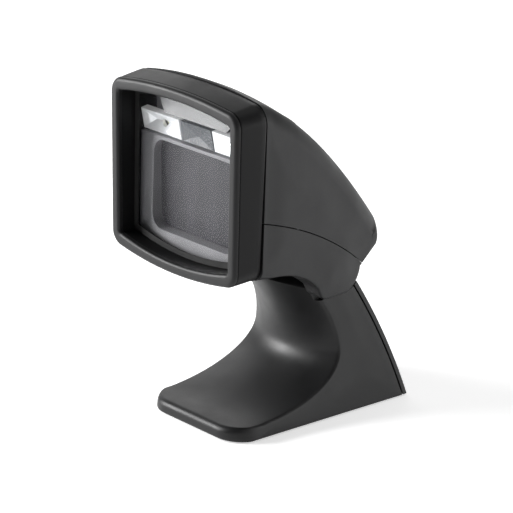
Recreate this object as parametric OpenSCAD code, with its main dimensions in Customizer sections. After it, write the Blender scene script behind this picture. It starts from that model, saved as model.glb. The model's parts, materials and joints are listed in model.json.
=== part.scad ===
// Hands-free presentation barcode scanner on a tilting riser stand.
// Millimetres, +Z up, X across, -Y is the reading side.
// Origin: on the ground, on the middle plane, halfway between the hood front and the stand's heel.

/* [Hood] */
// Width of the hood's face at its top corners
face_w_top = 79; // [77:0.5:80]
// Width of the hood's face at its bottom corners
face_w_bottom = 77.8; // [76:0.5:79]
// Height of the top corners above the ground
face_top = 142; // [140:0.5:143]
// Height of the bottom corners above the ground
face_bottom = 73; // [72.5:0.5:74]
// Rise of the arched top edge
arch_top = 3.2; // [2:0.2:4]
// Drop of the arched bottom edge
arch_bottom = 4.3; // [3:0.2:5]
// Radius of the face's corners
corner_r = 6.5; // [5.5:0.5:8]
// Lean of the face, degrees back from upright
face_lean = 1; // [0:0.5:2]
// Depth of the hood from its face to the housings
hood_depth = 13.8; // [12.8:0.25:14.8]
// How much wider the hood is at its back, each side
hood_flare = 1.4; // [1:0.1:2]
// Wall of the hood, seen from the front
hood_wall = 4.7; // [4:0.1:5]
// How far the bottom edge tucks up towards the back, as a share of the flare
low_tuck = 0.5; // [0:0.1:0.8]
// Depth of the front rim
rim_depth = 2.25; // [2:0.25:3]

/* [Head] */
// Toe-in of each side of the head, degrees
side_toe_in = 15; // [13:0.5:16]
// Extra height of the top along its centreline
top_crown = 5; // [3:0.5:6]
// Radius between the sides and the top
shoulder_r = 7; // [5:0.5:8]
// Wall of the housings
housing_wall = 2; // [1.8:0.1:2.4]
// Clear gap at the housings' parting line
parting_gap = 0.3; // [0.2:0.05:0.4]

/* [Stand] */
// Half-width of the stand at the ground
stand_half_w = 30.6; // [30:0.1:31]
// Lean of each side of the stand, degrees inwards
stand_side_lean = 9.4; // [9:0.1:10]
// Flare of each side of the stand towards the heel, degrees
stand_flare = 1.7; // [1:0.1:2]
// Height of the foot's top
foot_h = 6.4; // [6:0.1:6.8]
// Radius of the foot's front corners, in plan
foot_corner_r = 12; // [8:0.5:14]
// Thickness of the rear cover
rear_cover_t = 1.8; // [1.6:0.1:2.2]

/* [Hinge] */
// Pivot's distance behind the origin
pivot_y = 20.5; // [20:0.1:21]
// Pivot's height
pivot_z = 61.5; // [61:0.1:62]
// Radius of the stand's knuckle
knuckle_r = 9.5; // [9:0.1:10]
// Radius of the head's ears around the pivot
ear_r = 11; // [10.5:0.1:11.5]
// Radius of the tilt axle
axle_r = 3; // [2.5:0.1:3.5]
// Lowest tilt of the head, degrees, front down
tilt_down = -10; // [-12:1:0]
// Highest tilt of the head, degrees, front up
tilt_up = 25; // [10:1:28]
// Running clearance between the axle and the sleeves, radial
axle_clearance = 0.03; // [0.02:0.01:0.06]

/* [Trigger button] */
// Length of the button, along the slope
button_l = 15; // [13:0.5:16]
// Width of the button
button_w = 20; // [16:0.5:22]
// How far the button stands proud
button_proud = 1.3; // [1.2:0.1:1.8]

/* [Hidden] */

mid_z = (face_top + face_bottom) / 2;
face_y = -50.8;
heel_y = 49.5;
back_lean = 2.6;

// ---------- Curves ----------
// A point of a quadratic curve that leaves a towards c and reaches b from c.
function bend(a, c, b, t) = (1 - t) * (1 - t) * a + 2 * t * (1 - t) * c + t * t * b;
// Points of an arc, the last angle included.
function arc_points(centre, r, from, to, n) =
    [for (i = [0 : n]) centre + r * [cos(from + (to - from) * i / n), sin(from + (to - from) * i / n)]];

// ---------- Hood outline ----------
// The right half of one arched edge with its corner: side is 1 for the top and -1 for the bottom.
function arch_half(w, z, sag, r, side, n) =
    let (big_r = (w * w + sag * sag) / (2 * sag),
         cz = z + side * (sag - big_r),
         tangent = asin((w - r) / (big_r - r)),
         kz = cz + side * sqrt(pow(big_r - r, 2) - pow(w - r, 2)))
    concat([for (i = [0 : n - 1]) let (a = tangent * i / n) [big_r * sin(a), cz + side * big_r * cos(a)]],
           [for (i = [0 : n]) let (a = (90 - tangent) * (1 - i / n))
               [w - r + r * cos(a), kz + side * r * sin(a)]]);
function reversed(l) = [for (i = [len(l) - 1 : -1 : 0]) l[i]];
// The whole barrel outline in X and Z, grown outwards by d, and by low_d at its bottom edge.
function barrel(d, low_d, n = 6) =
    let (r = max(corner_r + d, 1),
         top = arch_half(face_w_top / 2 + d, face_top + d, arch_top, r, 1, n),
         low = arch_half(face_w_bottom / 2 + d, face_bottom - low_d, arch_bottom, r, -1, n),
         right = concat(top, reversed(low)))
    concat(right, [for (i = [len(right) - 2 : -1 : 1]) [-right[i][0], right[i][1]]]);
// Y of a point at a height, some depth behind the hood's face.
function hood_y(z, depth) =
    let (t = depth / hood_depth)
    face_y + depth + (z - mid_z) * ((1 - t) * tan(face_lean) + t * tan(back_lean));

// Joins rings of equal length into one solid: each ring to the next, and the last to the first.
module ring_of_rings(rings) {
    n = len(rings[0]);
    k = len(rings);
    polyhedron([for (r = rings) each r],
        [for (j = [0 : k - 1], i = [0 : n - 1])
            let (a = j * n, b = ((j + 1) % k) * n, i2 = (i + 1) % n)
            each [[a + i, b + i2, a + i2], [a + i, b + i, b + i2]]], convexity = 4);
}
// Sweeps a section, a list of [outset, depth] points, around the hood's outline. Outsets beyond
// the face's own edge are the flare, which the bottom edge doesn't have.
module hood_sweep(section) {
    ring_of_rings([for (s = section)
        [for (p = barrel(s[0], min(s[0], -s[0] * low_tuck))) [p[0], hood_y(p[1], s[1]), p[1]]]]);
}

// ---------- Layered solids ----------
// An outline entry is [y, z, rounding, inward_y, inward_z, bulge_y, bulge_z]: the rounding is the
// radius towards the side, inward is its direction, and the bulge is added on the middle plane.
// A side is [half-width at the origin, loss per Y, loss per Z, power of the bulge across X, radius of
// the front corners in plan].
// Layers lie at these distances from the side, and then at these shares of the core's half-width.
layer_q = [0, 0.35, 1.1, 2.4, 4.6, 8.4];
core_q = 13;
core_shares = [1, 0.5];
function half_w(side, p) = side[0] - side[1] * p[0] - side[2] * p[1];
function layer_x(w, q, share) = (w - q) * share;
// How far a rounding of radius r pulls a surface in, at distance q from the side.
function pulled_in(q, r) = q < r ? r - sqrt(r * r - pow(r - q, 2)) : 0;
// How much of a front corner in plan reaches a point: all of it at the front, none behind the reach.
function corner_share(y) = max(0, 1 - (y - foot_front) / corner_reach);
function layer_ring(outline, side, q, share, sign) =
    [for (e = outline)
        let (w0 = half_w(side, e),
             b = 1 - pow(layer_x(w0, q, share) / w0, side[3]),
             d = pulled_in(q, e[2]),
             corner = side[4] > 0 ? pulled_in(q, side[4]) * corner_share(e[0]) : 0,
             p = [e[0] + d * e[3] + b * e[5] + corner, e[1] + d * e[4] + b * e[6]])
        [sign * layer_x(half_w(side, p), q, share), p[0], p[1]]];

// Twice the area of a triangle, positive when its corners run clockwise.
function clockwise(a, b, c) = (b[1] - a[1]) * (c[0] - a[0]) - (b[0] - a[0]) * (c[1] - a[1]);
// Whether corner t[1] can be cut off a clockwise outline p along the line from t[0] to t[2].
function is_ear(p, left, t) =
    let (a = p[t[0]], b = p[t[1]], c = p[t[2]])
    clockwise(a, b, c) > 0 && len([for (i = left)
        if (i != t[0] && i != t[1] && i != t[2] && clockwise(a, b, p[i]) >= 0
            && clockwise(b, c, p[i]) >= 0 && clockwise(c, a, p[i]) >= 0) i]) == 0;
// Triangles that fill a clockwise outline p, of which the corners listed in left remain.
function ears(p, left) =
    len(left) == 3 ? [left] :
    let (n = len(left),
         found = [for (k = [0 : n - 1])
             let (t = [left[(k + n - 1) % n], left[k], left[(k + 1) % n]])
             if (is_ear(p, left, t)) [norm(p[t[2]] - p[t[0]]), k, t]],
         shortest = min([for (e = found) e[0]]),
         ear = [for (e = found) if (e[0] == shortest) e][0])
    concat([ear[2]], ears(p, [for (k = [0 : n - 1]) if (k != ear[1]) left[k]]));
// Joins rings of equal length into one solid and closes both flat ends.
module stack_of_rings(rings) {
    n = len(rings[0]);
    k = len(rings);
    cap = ears([for (p = rings[0]) [p[1], p[2]]], [for (i = [0 : n - 1]) i]);
    polyhedron([for (r = rings) each r],
        concat(cap,
               [for (j = [0 : k - 2], i = [0 : n - 1])
                   let (a = j * n, b = a + n, i2 = (i + 1) % n)
                   each [[a + i, b + i2, a + i2], [a + i, b + i, b + i2]]],
               [for (t = cap) [t[2], t[1], t[0]] + (k - 1) * n * [1, 1, 1]]), convexity = 6);
}
module layered(outline, side) {
    right = concat([for (q = layer_q) layer_ring(outline, side, q, 1, 1)],
                   [for (share = core_shares) layer_ring(outline, side, core_q, share, 1)]);
    stack_of_rings(concat(right, [layer_ring(outline, side, core_q, 0, 1)],
                          [for (i = [len(right) - 1 : -1 : 0]) [for (p = right[i]) [-p[0], p[1], p[2]]]]));
}
// Extrudes an outline drawn in Y and Z along X, centred.
module along_x(points, length) {
    rotate([90, 0, 90]) linear_extrude(length, center = true) polygon(points);
}
// A box from its lowest to its highest corner.
module box(low, high) {
    translate(low) cube(high - low);
}
// A round bar along X from x = a to x = b at a point in Y and Z.
module bar_x(at, r, a, b) {
    translate([a, at[0], at[1]]) rotate([0, 90, 0]) cylinder(r = r, h = b - a, $fn = 64);
}
module tube_x(at, r, bore, a, b) {
    difference() {
        bar_x(at, r, a, b);
        bar_x(at, bore, a - 1, b + 1);
    }
}
module mirrored() {
    children();
    mirror([1, 0, 0]) children();
}
// Entries for plain points: rounding r, and a crown c0 to c1 along the outline's own normals.
function entries(points, r, c0, c1) =
    [for (i = [0 : len(points) - 1])
        let (v = points[min(i + 1, len(points) - 1)] - points[max(i - 1, 0)],
             n = [v[1], -v[0]] / norm(v),
             c = c0 + (c1 - c0) * i / (len(points) - 1))
        [points[i][0], points[i][1], r, n[0], n[1], -n[0] * c, -n[1] * c]];
function without_first(l) = [for (i = [1 : len(l) - 1]) l[i]];

// ---------- Head shape ----------
head_front_y = face_y + hood_depth;
head_half_w = face_w_top / 2 + hood_flare - 0.4;
head_side = [head_half_w + head_front_y * tan(side_toe_in), tan(side_toe_in), 0, 2, 0];
pivot = [pivot_y, pivot_z];
tail = [39.8, 70.5];
tail_r = 6;
tail_angle = 39;
top_from = [head_front_y + 1.75, face_top + hood_flare - 0.4];
top_ctrl = [3.5, 125];
top_to = tail + tail_r * [cos(tail_angle), sin(tail_angle)];
low_from = [head_front_y - 1.35, face_bottom + hood_flare * low_tuck];
ear_front = [7.5, 58];
ear_front_r = 6;
lip_r = 0.9;
crown_front = arch_top + 1;
function head_top(t) = bend(top_from, top_ctrl, top_to, t);
head_top_points = [for (i = [0 : 12]) head_top(i / 12)];
head_tail_points = arc_points(tail, tail_r, tail_angle - 14, -60, 5);
head_ear_points = concat(arc_points(pivot, ear_r, -12, -90, 6),
                         arc_points(ear_front, ear_front_r, -105, -150, 3));
head_low_points = [for (i = [0 : 7]) bend([0.5, 58.4], [-12, 71.3], low_from, i / 7)];
// The front ends of the outline keep to the hood's back plane.
function head_outline() = concat(
    [[top_from[0], top_from[1], corner_r, 0, -1, crown_front * tan(back_lean), crown_front]],
    without_first(entries(head_top_points, shoulder_r, crown_front, top_crown)),
    entries(head_tail_points, shoulder_r * 0.7, top_crown * 0.75, 0),
    entries(head_ear_points, lip_r, 0, 0),
    [for (i = [0 : len(head_low_points) - 2]) entries(head_low_points, lip_r, 0, arch_bottom)[i]],
    [[low_from[0], low_from[1], corner_r * 0.7, 0, 1, 0, -arch_bottom]]);
// An outline moved inwards by g, with its front ends carried forward so that the hollow opens there.
function inset_outline(outline, g) =
    let (last = len(outline) - 1)
    [for (i = [0 : last])
        let (e = outline[i], f = i == 0 || i == last ? -4 : 0)
        [e[0] + g * e[3] + f, e[1] + g * e[4], max(e[2] - g, 0.01), e[3], e[4], e[5], e[6]]];

// Where the two housings part, from the hood back to the ears.
part_from = [head_front_y - 1, 97.3];
part_ctrl = [2, 84.5];
part_to = [33.2, 59.5];
part_points = [for (i = [0 : 8]) bend(part_from, part_ctrl, part_to, i / 8)];
module below_parting(shift) {
    along_x(concat([for (p = part_points) p + [0, shift]],
                   [[part_to[0] + 1.5, part_to[1] - 2.5 + shift], [part_to[0] + 1.5, 30],
                    [part_from[0] - 3, 30], [part_from[0] - 3, part_from[1] + 1 + shift]]), 100);
}
module above_parting(shift) {
    along_x(concat([[part_from[0] - 3, 160], [part_from[0] - 3, part_from[1] + 1 + shift]],
                   [for (p = part_points) p + [0, shift]],
                   [[part_to[0] + 1.5, part_to[1] - 2.5 + shift], [70, 40], [70, 160]]), 100);
}

// The space of the knuckle and the neck between the ears, over the whole tilt.
ear_gap = 0.5;
knuckle_half_w = 20.4;
bay_top = 64.6;
bay_front = -10;
bay_r = 12.2;
module bay(grow) {
    w = 2 * (knuckle_half_w + ear_gap + grow);
    along_x([[bay_front - grow, 30], [bay_front - grow, bay_top + grow], [pivot_y, bay_top + grow],
             [pivot_y, 30]], w);
    bar_x(pivot, bay_r + grow, -w / 2, w / 2);
    along_x([[pivot_y - 1, 30], [pivot_y - 1, pivot_z], [36 - grow, 60.5 + grow], [50, 60], [50, 30]], w);
}
// The hollow inside both housings: clear of the bay's walls and of the solid ears.
module head_hollow() {
    difference() {
        layered(inset_outline(head_outline(), housing_wall),
                head_side - [housing_wall / cos(side_toe_in), 0, 0, 0, 0]);
        bay(housing_wall);
        mirrored() translate([knuckle_half_w + ear_gap - housing_wall + 30, 0, 0])
            along_x([[-3, 30], [-3, 60], [4, 71], [26, 71], [40, 62], [40, 30]], 60);
    }
}
// Screws that go up through the lower housing into bosses under the upper housing.
screw_at = [[32.5, -24], [29, -11]];
screw_head_z = [77.5, 71];
screw_r = 1.5;
screw_head_r = 2.8;
screw_l = 20;
boss_r = 3.4;
module at_screws() {
    for (i = [0, 1]) mirrored() translate([screw_at[i][0], screw_at[i][1], screw_head_z[i]]) children();
}
module upper_housing() {
    color("#3e3e3f") difference() {
        layered(head_outline(), head_side);
        difference() {
            head_hollow();
            at_screws() translate([0, 0, -12]) cylinder(r = boss_r, h = screw_l + 16, $fn = 48);
        }
        at_screws() cylinder(r = screw_r, h = screw_l, $fn = 32);
        below_parting(parting_gap / 2);
        bay(0);
        on_button() button_shape(button_l + 0.6, button_w + 0.6, -8, 6);
        on_button() translate([0, -indicator_ahead, -8]) cylinder(r = indicator_r + 0.1, h = 12, $fn = 32);
        jack_place() box([-jack_w / 2, -jack_h / 2, -9], [jack_w / 2, jack_h / 2, jack_l]);
    }
}
module lower_housing() {
    color("#3c3c3d") difference() {
        layered(head_outline(), head_side);
        above_parting(-parting_gap / 2);
        difference() {
            head_hollow();
            at_screws() translate([0, 0, -12]) cylinder(r = boss_r, h = screw_l + 16, $fn = 48);
        }
        at_screws() {
            translate([0, 0, -1]) cylinder(r = screw_r, h = screw_l, $fn = 32);
            translate([0, 0, -30]) cylinder(r = screw_head_r, h = 30, $fn = 32);
        }
        bay(0);
        mirrored() bar_x(pivot, bush_r, knuckle_half_w + ear_gap - 1, bush_end);
    }
}

// ---------- Hood, window and optics ----------
// Chamfer of the groove where the rim meets the hood.
rim_groove = 0.4;
module front_rim() {
    color("#474747") hood_sweep([
        [-hood_wall, 0.9], [-hood_wall + 0.5, 0.2], [-hood_wall + 1.3, 0], [-1.7, 0], [-0.9, 0.2],
        [-0.25, 0.8], [0, 1.4], [0, rim_depth - rim_groove], [-rim_groove, rim_depth],
        [-hood_wall, rim_depth]]);
}
module hood_shell() {
    color("#282828") hood_sweep([
        [-hood_wall, rim_depth], [-rim_groove, rim_depth], [0, rim_depth + rim_groove],
        [hood_flare - 0.2, hood_depth - 0.5], [hood_flare - 0.5, hood_depth], [-hood_wall, hood_depth]]);
}
// A plate with the hood's outline grown by d, from one depth to another behind the face.
module hood_plate(d, from, to) {
    middle = (from + to) / 2;
    lean = face_lean + (back_lean - face_lean) * min(middle / hood_depth, 1);
    translate([0, face_y + middle, mid_z]) rotate([-lean, 0, 0]) translate([0, to - middle, -mid_z])
        rotate([90, 0, 0]) linear_extrude(to - from) polygon(barrel(d, d));
}
pane_depth = 9.3;
pane_t = 1.5;
gasket_lip = 2.4;
module window_pane() {
    color("#c8ccd0", 0.35) hood_plate(-hood_wall - 0.8, pane_depth, pane_depth + pane_t);
}
module window_gasket() {
    color("#151515") difference() {
        hood_plate(-hood_wall - 0.1, pane_depth - 0.6, pane_depth + pane_t);
        hood_plate(-hood_wall - 0.7, pane_depth - 0.1, pane_depth + pane_t + 1);
        hood_plate(-hood_wall - gasket_lip, pane_depth - 2, pane_depth + 2);
    }
}
recess_w = 52;
recess_low = 80;
recess_top = 117.5;
recess_r = 6;
cover_y = -35.2;
lens_z = 98;
lens_r = 8;
shelf_low = 119;
shelf_top = 129.4;
module rounded_plate(w, h, r, t) {
    rotate([90, 0, 0]) translate([0, 0, -t]) linear_extrude(t) hull()
        for (x = [-1, 1], z = [-1, 1]) translate([x * (w / 2 - r), z * (h / 2 - r)]) circle(r = r, $fn = 32);
}
module recess(inset, y, t) {
    translate([0, y, (recess_low + recess_top) / 2])
        rounded_plate(recess_w - 2 * inset, recess_top - recess_low - 2 * inset, recess_r - inset, t);
}
ledge_y = -31.9;
led_board_y = ledge_y + 0.8;
led_board_t = 1.2;
led_board_w = 53;
module optics_frame() {
    color("#57575a") difference() {
        union() {
            hood_plate(-hood_wall - 0.3, pane_depth + pane_t + 1, hood_depth);
            hood_plate(-hood_wall - 2.4, hood_depth - 1, hood_depth + 7.6);
        }
        recess(0, -45, 11.5);
        translate([0, -36, lens_z]) rotate([-90, 0, 0]) cylinder(r = lens_r + 1, h = 12, $fn = 64);
        box([-60, -45, shelf_low - 0.2], [60, ledge_y, shelf_top + 14]);
        box([-25, -45, shelf_low + 1.5], [25, -20, shelf_top - 2]);
        box([-led_board_w / 2 - 0.2, led_board_y, shelf_low + 0.3],
            [led_board_w / 2 + 0.2, -20, shelf_top - 0.8]);
    }
}
module imager_cover() {
    color("#68686c") recess(0.2, cover_y, 1.6);
}
// The reflectors and the prism between them lean forward together.
optics_lean = 10;
optics_at = [0, -36.9, shelf_low + 0.4];
module on_optics() {
    translate(optics_at) rotate([optics_lean, 0, 0]) children();
}
// One light reflector: a shallow faceted cup around its lamp.
reflector_w = 24;
reflector_h = shelf_top - shelf_low - 1.6;
reflector_in = 10.4;
reflector_t = 3.3;
reflector_lip = 1;
led_r = 1.6;
led_x = 22.2;
led_z = shelf_low + 4.9;
module reflector() {
    difference() {
        on_optics() translate([-reflector_in, 0, 0]) difference() {
            box([-reflector_w, 0, 0], [0, reflector_t, reflector_h]);
            hull() {
                box([reflector_lip - reflector_w, -1, reflector_lip],
                    [-reflector_lip, 0.2, reflector_h - reflector_lip]);
                box([-reflector_w / 2 - 3.5, 2.4, 3], [-reflector_w / 2 + 3.5, 2.6, reflector_h - 3.4]);
            }
        }
        translate([-led_x, -40, led_z]) rotate([-90, 0, 0]) cylinder(r = led_r + 0.2, h = 12, $fn = 32);
    }
}
module reflector_left() { color("#eef0f2") reflector(); }
module reflector_right() { color("#eef0f2") mirror([1, 0, 0]) reflector(); }
prism_half_w = 9.9;
prism_taper = 0.7;
prism_t = 4.6;
module centre_prism() {
    color("#77797c") on_optics() translate([0, prism_t, 0]) rotate([90, 0, 0]) linear_extrude(prism_t)
        polygon([[-prism_half_w, 0], [prism_half_w, 0], [prism_half_w - prism_taper, reflector_h],
                 [prism_taper - prism_half_w, reflector_h]]);
}
// The pale panel above the reflectors slopes back and widens upwards.
panel_y = -38.6;
panel_lean = 16;
panel_low_w = 38;
panel_top_w = 54;
panel_h = 8.6;
panel_t = 1.2;
module light_panel() {
    color("#a4a9ac") translate([0, panel_y, shelf_top]) rotate([90 - panel_lean, 0, 0])
        translate([0, 0, -panel_t]) linear_extrude(panel_t)
            polygon([[-panel_low_w / 2, 0], [panel_low_w / 2, 0], [panel_top_w / 2, panel_h],
                     [-panel_top_w / 2, panel_h]]);
}
module led_board() {
    color("#2f5d3a") box([-led_board_w / 2, led_board_y, shelf_low + 0.5],
                         [led_board_w / 2, led_board_y + led_board_t, shelf_top - 1]);
}
module illumination_leds() {
    color("#f4e9a8") mirrored() translate([-led_x, led_board_y - 3, led_z]) rotate([-90, 0, 0])
        cylinder(r = led_r, h = 3, $fn = 32);
}
barrel_front = -29.4;
barrel_back = -17;
module lens_barrel() {
    color("#1c1c1e") translate([0, barrel_front, lens_z]) rotate([-90, 0, 0]) difference() {
        cylinder(r = lens_r, h = barrel_back - barrel_front, $fn = 64);
        translate([0, 0, -1]) cylinder(r = lens_r - 2.4, h = 4, $fn = 64);
    }
}
board_y = -9;
board_t = 1.6;
module lens_holder() {
    color("#2a2a2c") difference() {
        box([-12, -19, lens_z - 12], [12, board_y, lens_z + 12]);
        translate([0, -20, lens_z]) rotate([-90, 0, 0]) cylinder(r = lens_r + 0.05, h = 3, $fn = 64);
        box([-8, -15, lens_z - 8], [8, board_y + 1, lens_z + 8]);
        translate([0, -20, lens_z]) rotate([-90, 0, 0]) cylinder(r = lens_r - 1, h = 8, $fn = 64);
    }
}
module image_sensor() {
    color("#6a7480") box([-5, board_y - 1.4, lens_z - 4], [5, board_y, lens_z + 4]);
}
module camera_board() {
    color("#2f5d3a") box([-17, board_y, lens_z - 16], [17, board_y + board_t, lens_z + 16]);
}
main_y = -1;
main_low = 84;
main_top = 113;
main_w = 50;
post_x = 21;
post_r = 3;
post_z = [main_low + 3, main_top - 3];
module at_posts() {
    for (x = [-post_x, post_x], z = post_z) translate([x, 0, z]) children();
}
module inner_chassis() {
    color("#343436") difference() {
        union() {
            box([-26, board_y + board_t, main_low], [26, board_y + board_t + 2, main_top]);
            at_posts() translate([0, main_y, 0]) rotate([90, 0, 0])
                cylinder(r = post_r, h = main_y - board_y - 2.4, $fn = 32);
        }
        at_posts() translate([0, main_y + 1, 0]) rotate([90, 0, 0]) cylinder(r = 1, h = 6, $fn = 32);
        box([-7, board_y, main_low - 1], [7, board_y + 5, main_low + 8]);
    }
}
module main_board() {
    color("#2f5d3a") difference() {
        box([-main_w / 2, main_y, main_low], [main_w / 2, main_y + board_t, main_top]);
        at_posts() translate([0, main_y + 3, 0]) rotate([90, 0, 0]) cylinder(r = 1.3, h = 6, $fn = 32);
    }
}
module board_chips() {
    color("#1a1a1b") {
        y = main_y + board_t;
        box([-8, y, 98], [6, y + 1.4, 110]);
        box([9, y, 101], [17, y + 1.2, 108]);
        box([-17, y, 88], [-11, y + 1.6, 96]);
        box([8, y, 87], [16, y + 3, 93]);
    }
}
module board_screws() {
    color("#b9bcc0") at_posts() translate([0, main_y + board_t, 0]) rotate([90, 0, 0]) {
        cylinder(r = 1, h = 5.5, $fn = 32);
        translate([0, 0, -1.4]) cylinder(r = 2, h = 1.4, $fn = 32);
    }
}
// A thin ribbon from the back of the camera board, down, back and up to the front of the main board.
flex_t = 0.3;
flex_w = 10;
flex_low = 82.6;
flex_top = 87.9;
flex_back = main_y - 1;
module flex_cable() {
    start = board_y + board_t;
    color("#c98a3a") along_x([[start, flex_top - 2], [start + flex_t, flex_top - 2],
        [start + flex_t, flex_low + flex_t], [flex_back - flex_t, flex_low + flex_t],
        [flex_back - flex_t, flex_top], [main_y, flex_top], [main_y, flex_top - flex_t],
        [flex_back, flex_top - flex_t], [flex_back, flex_low], [start, flex_low]], flex_w);
}
module sounder() {
    color("#202021") translate([-2, main_y + board_t, 89.5]) rotate([-90, 0, 0]) difference() {
        cylinder(r = 6, h = 4.5, $fn = 64);
        translate([0, 0, 3.5]) cylinder(r = 1.2, h = 3, $fn = 32);
    }
}

// ---------- Trigger button ----------
button_t = 0.47;
button_slope = 39.4;
button_travel = 1;
indicator_ahead = 12.5;
indicator_r = 1.5;
button_crown = crown_front + (top_crown - crown_front) * button_t - 0.1;
button_at = head_top(button_t) + button_crown * [sin(button_slope), cos(button_slope)];
// Places children with +Z out of the top surface and +Y down its slope.
module on_button() {
    translate([0, button_at[0], button_at[1]]) rotate([-button_slope, 0, 0]) children();
}
module button_shape(l, w, z0, z1) {
    translate([0, 0, z0]) linear_extrude(z1 - z0) hull()
        mirrored() translate([(w - l) / 2, 0]) circle(d = l, $fn = 48);
}
button_under = -1.6;
switch_top = -3.4;
module trigger_button() {
    color("#454546") on_button() difference() {
        union() {
            button_shape(button_l, button_w, button_under, button_proud - 0.5);
            button_shape(button_l - 1, button_w - 1, button_proud - 0.6, button_proud);
        }
        button_shape(button_l - 3, button_w - 3, button_under - 1, -0.4);
    }
    color("#454546") on_button() translate([0, 0, switch_top + button_travel + 0.1])
        cylinder(r = 1.6, h = -0.3 - switch_top - button_travel, $fn = 32);
}
module button_switch() {
    color("#8d9094") on_button() {
        box([-3, -3, switch_top - 2.2], [3, 3, switch_top - 0.4]);
        translate([0, 0, switch_top - 0.5]) cylinder(r = 1.5, h = 0.5, $fn = 32);
    }
}
module button_board() {
    color("#2f5d3a") on_button() box([-11, -7, switch_top - 3.6], [11, 7, switch_top - 2.2]);
}
module indicator_lens() {
    color("#d8e6dc") on_button() translate([0, -indicator_ahead, -2.6])
        cylinder(r = indicator_r, h = 3, $fn = 32);
}

// ---------- Interface jack and screws ----------
jack_w = 13;
jack_h = 8;
jack_l = 8.6;
module jack_place() {
    translate([0, 37.6, 64]) children();
}
module interface_jack() {
    color("#111112") jack_place() difference() {
        box([-jack_w / 2, -jack_h / 2, 0], [jack_w / 2, jack_h / 2, jack_l]);
        box([-jack_w / 2 + 1, -jack_h / 2 + 1, -1], [jack_w / 2 - 1, jack_h / 2 - 1, jack_l - 1.5]);
    }
}

// ---------- Hinge ----------
bush_r = 4;
bush_end = 23.6;
sleeve_r = 5;
sleeve_in = 12;
module tilt_axle() {
    color("#a9adb1") bar_x(pivot, axle_r, -bush_end + 0.2, bush_end - 0.2);
}
module ear_bush() { tube_x(pivot, bush_r, axle_r, knuckle_half_w + ear_gap, bush_end); }
module ear_bush_right() { color("#8a8d90") ear_bush(); }
module ear_bush_left() { color("#8a8d90") mirror([1, 0, 0]) ear_bush(); }
module friction_sleeve() { tube_x(pivot, sleeve_r, axle_r + axle_clearance, sleeve_in, knuckle_half_w); }
module friction_sleeve_right() { color("#d8d3c4") friction_sleeve(); }
module friction_sleeve_left() { color("#d8d3c4") mirror([1, 0, 0]) friction_sleeve(); }
module spring_washers() {
    color("#b9bcc0") mirrored()
        tube_x(pivot, sleeve_r - 0.4, axle_r + 0.3, knuckle_half_w + 0.05, knuckle_half_w + 0.4);
}

// ---------- Stand ----------
stand_side = [stand_half_w, -tan(stand_flare), tan(stand_side_lean), 2, foot_corner_r];
corner_reach = 17.5;
foot_edge_r = 2.6;
foot_under_r = 1.4;
heel_from = [heel_y, 0.6];
heel_ctrl = [42.3, 28.6];
heel_to = [28.3, 53.8];
foot_front = -42.6;
foot_low = 0.5;
neck = [15.6, 27.5];
neck_bow = 0.0145;
neck_bulge = 8;
rim_reach = 5;
sweep_swell = 8;
rim_z = 54.5;
foot_top_from = -33;
function heel_normal(t) =
    let (v = bend(heel_from, heel_ctrl, heel_to, t + 0.01) - bend(heel_from, heel_ctrl, heel_to, t))
    [v[1], -v[0]] / norm(v);
// A point of the heel's back curve, moved inwards by an inset and kept above the foot's underside.
function heel(t, inset) =
    let (p = bend(heel_from, heel_ctrl, heel_to, t) - inset * heel_normal(t))
    [p[0], max(p[1], foot_low)];
// Front of the neck above its waist, at the side, bulging more towards the rim.
function neck_entry(z) =
    let (h = z - neck[1], t = h / (rim_z - neck[1]))
    [neck[0] - neck_bow * h * h, z, lip_r, 1, 0, -neck_bulge - rim_reach * t * t, 4 * t * t];
// Top of the foot sweeping up into the neck, a quarter of an ellipse.
function sweep_entry(a) =
    let (rx = neck[0] - foot_top_from, rz = neck[1] - foot_h, t = a / 90)
    [foot_top_from + rx * sin(a), neck[1] - rz * cos(a), lip_r, sin(a), -cos(a),
     -neck_bulge * sin(a), sweep_swell * pow(2 * t * (1 - t), 2)];
// A point of the foot's front edge, on a quarter round of radius r about a centre, at an angle.
function edge_entry(r, z, a) =
    [foot_front + r + r * cos(a), z + r * sin(a), lip_r, -cos(a), -sin(a), 0, 0];
function stand_outline(heel_inset) = concat(
    [for (i = [0 : 8]) let (p = heel(i / 8, heel_inset)) [p[0], p[1], 0.5, -1, 0, 0, 0]],
    [for (p = arc_points(pivot, knuckle_r, -35, 170, 12)) [p[0], p[1], 0.01, 0, 0, 0, 0]],
    [[9.6, rim_z + 4.9, 0.01, 0, 0, -1, 0.5],
     [7.4, rim_z + 2.6, lip_r, 0.6, -0.8, 2 - neck_bulge, 3],
     [5.5, rim_z + 0.9, lip_r, 0.8, -0.6, 1 - neck_bulge - rim_reach, 3.8]],
    [for (i = [0 : 6]) neck_entry(rim_z - (rim_z - neck[1]) * i / 7)],
    [for (i = [0 : 9]) sweep_entry(90 - 10 * i)],
    [for (a = [90 : 30 : 180]) edge_entry(foot_edge_r, foot_h - foot_edge_r, a)],
    [for (a = [180 : 45 : 270]) edge_entry(foot_under_r, foot_low + foot_under_r, a)]);
cover_gap = 0.5;
ear_clearance = 0.5;
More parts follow.
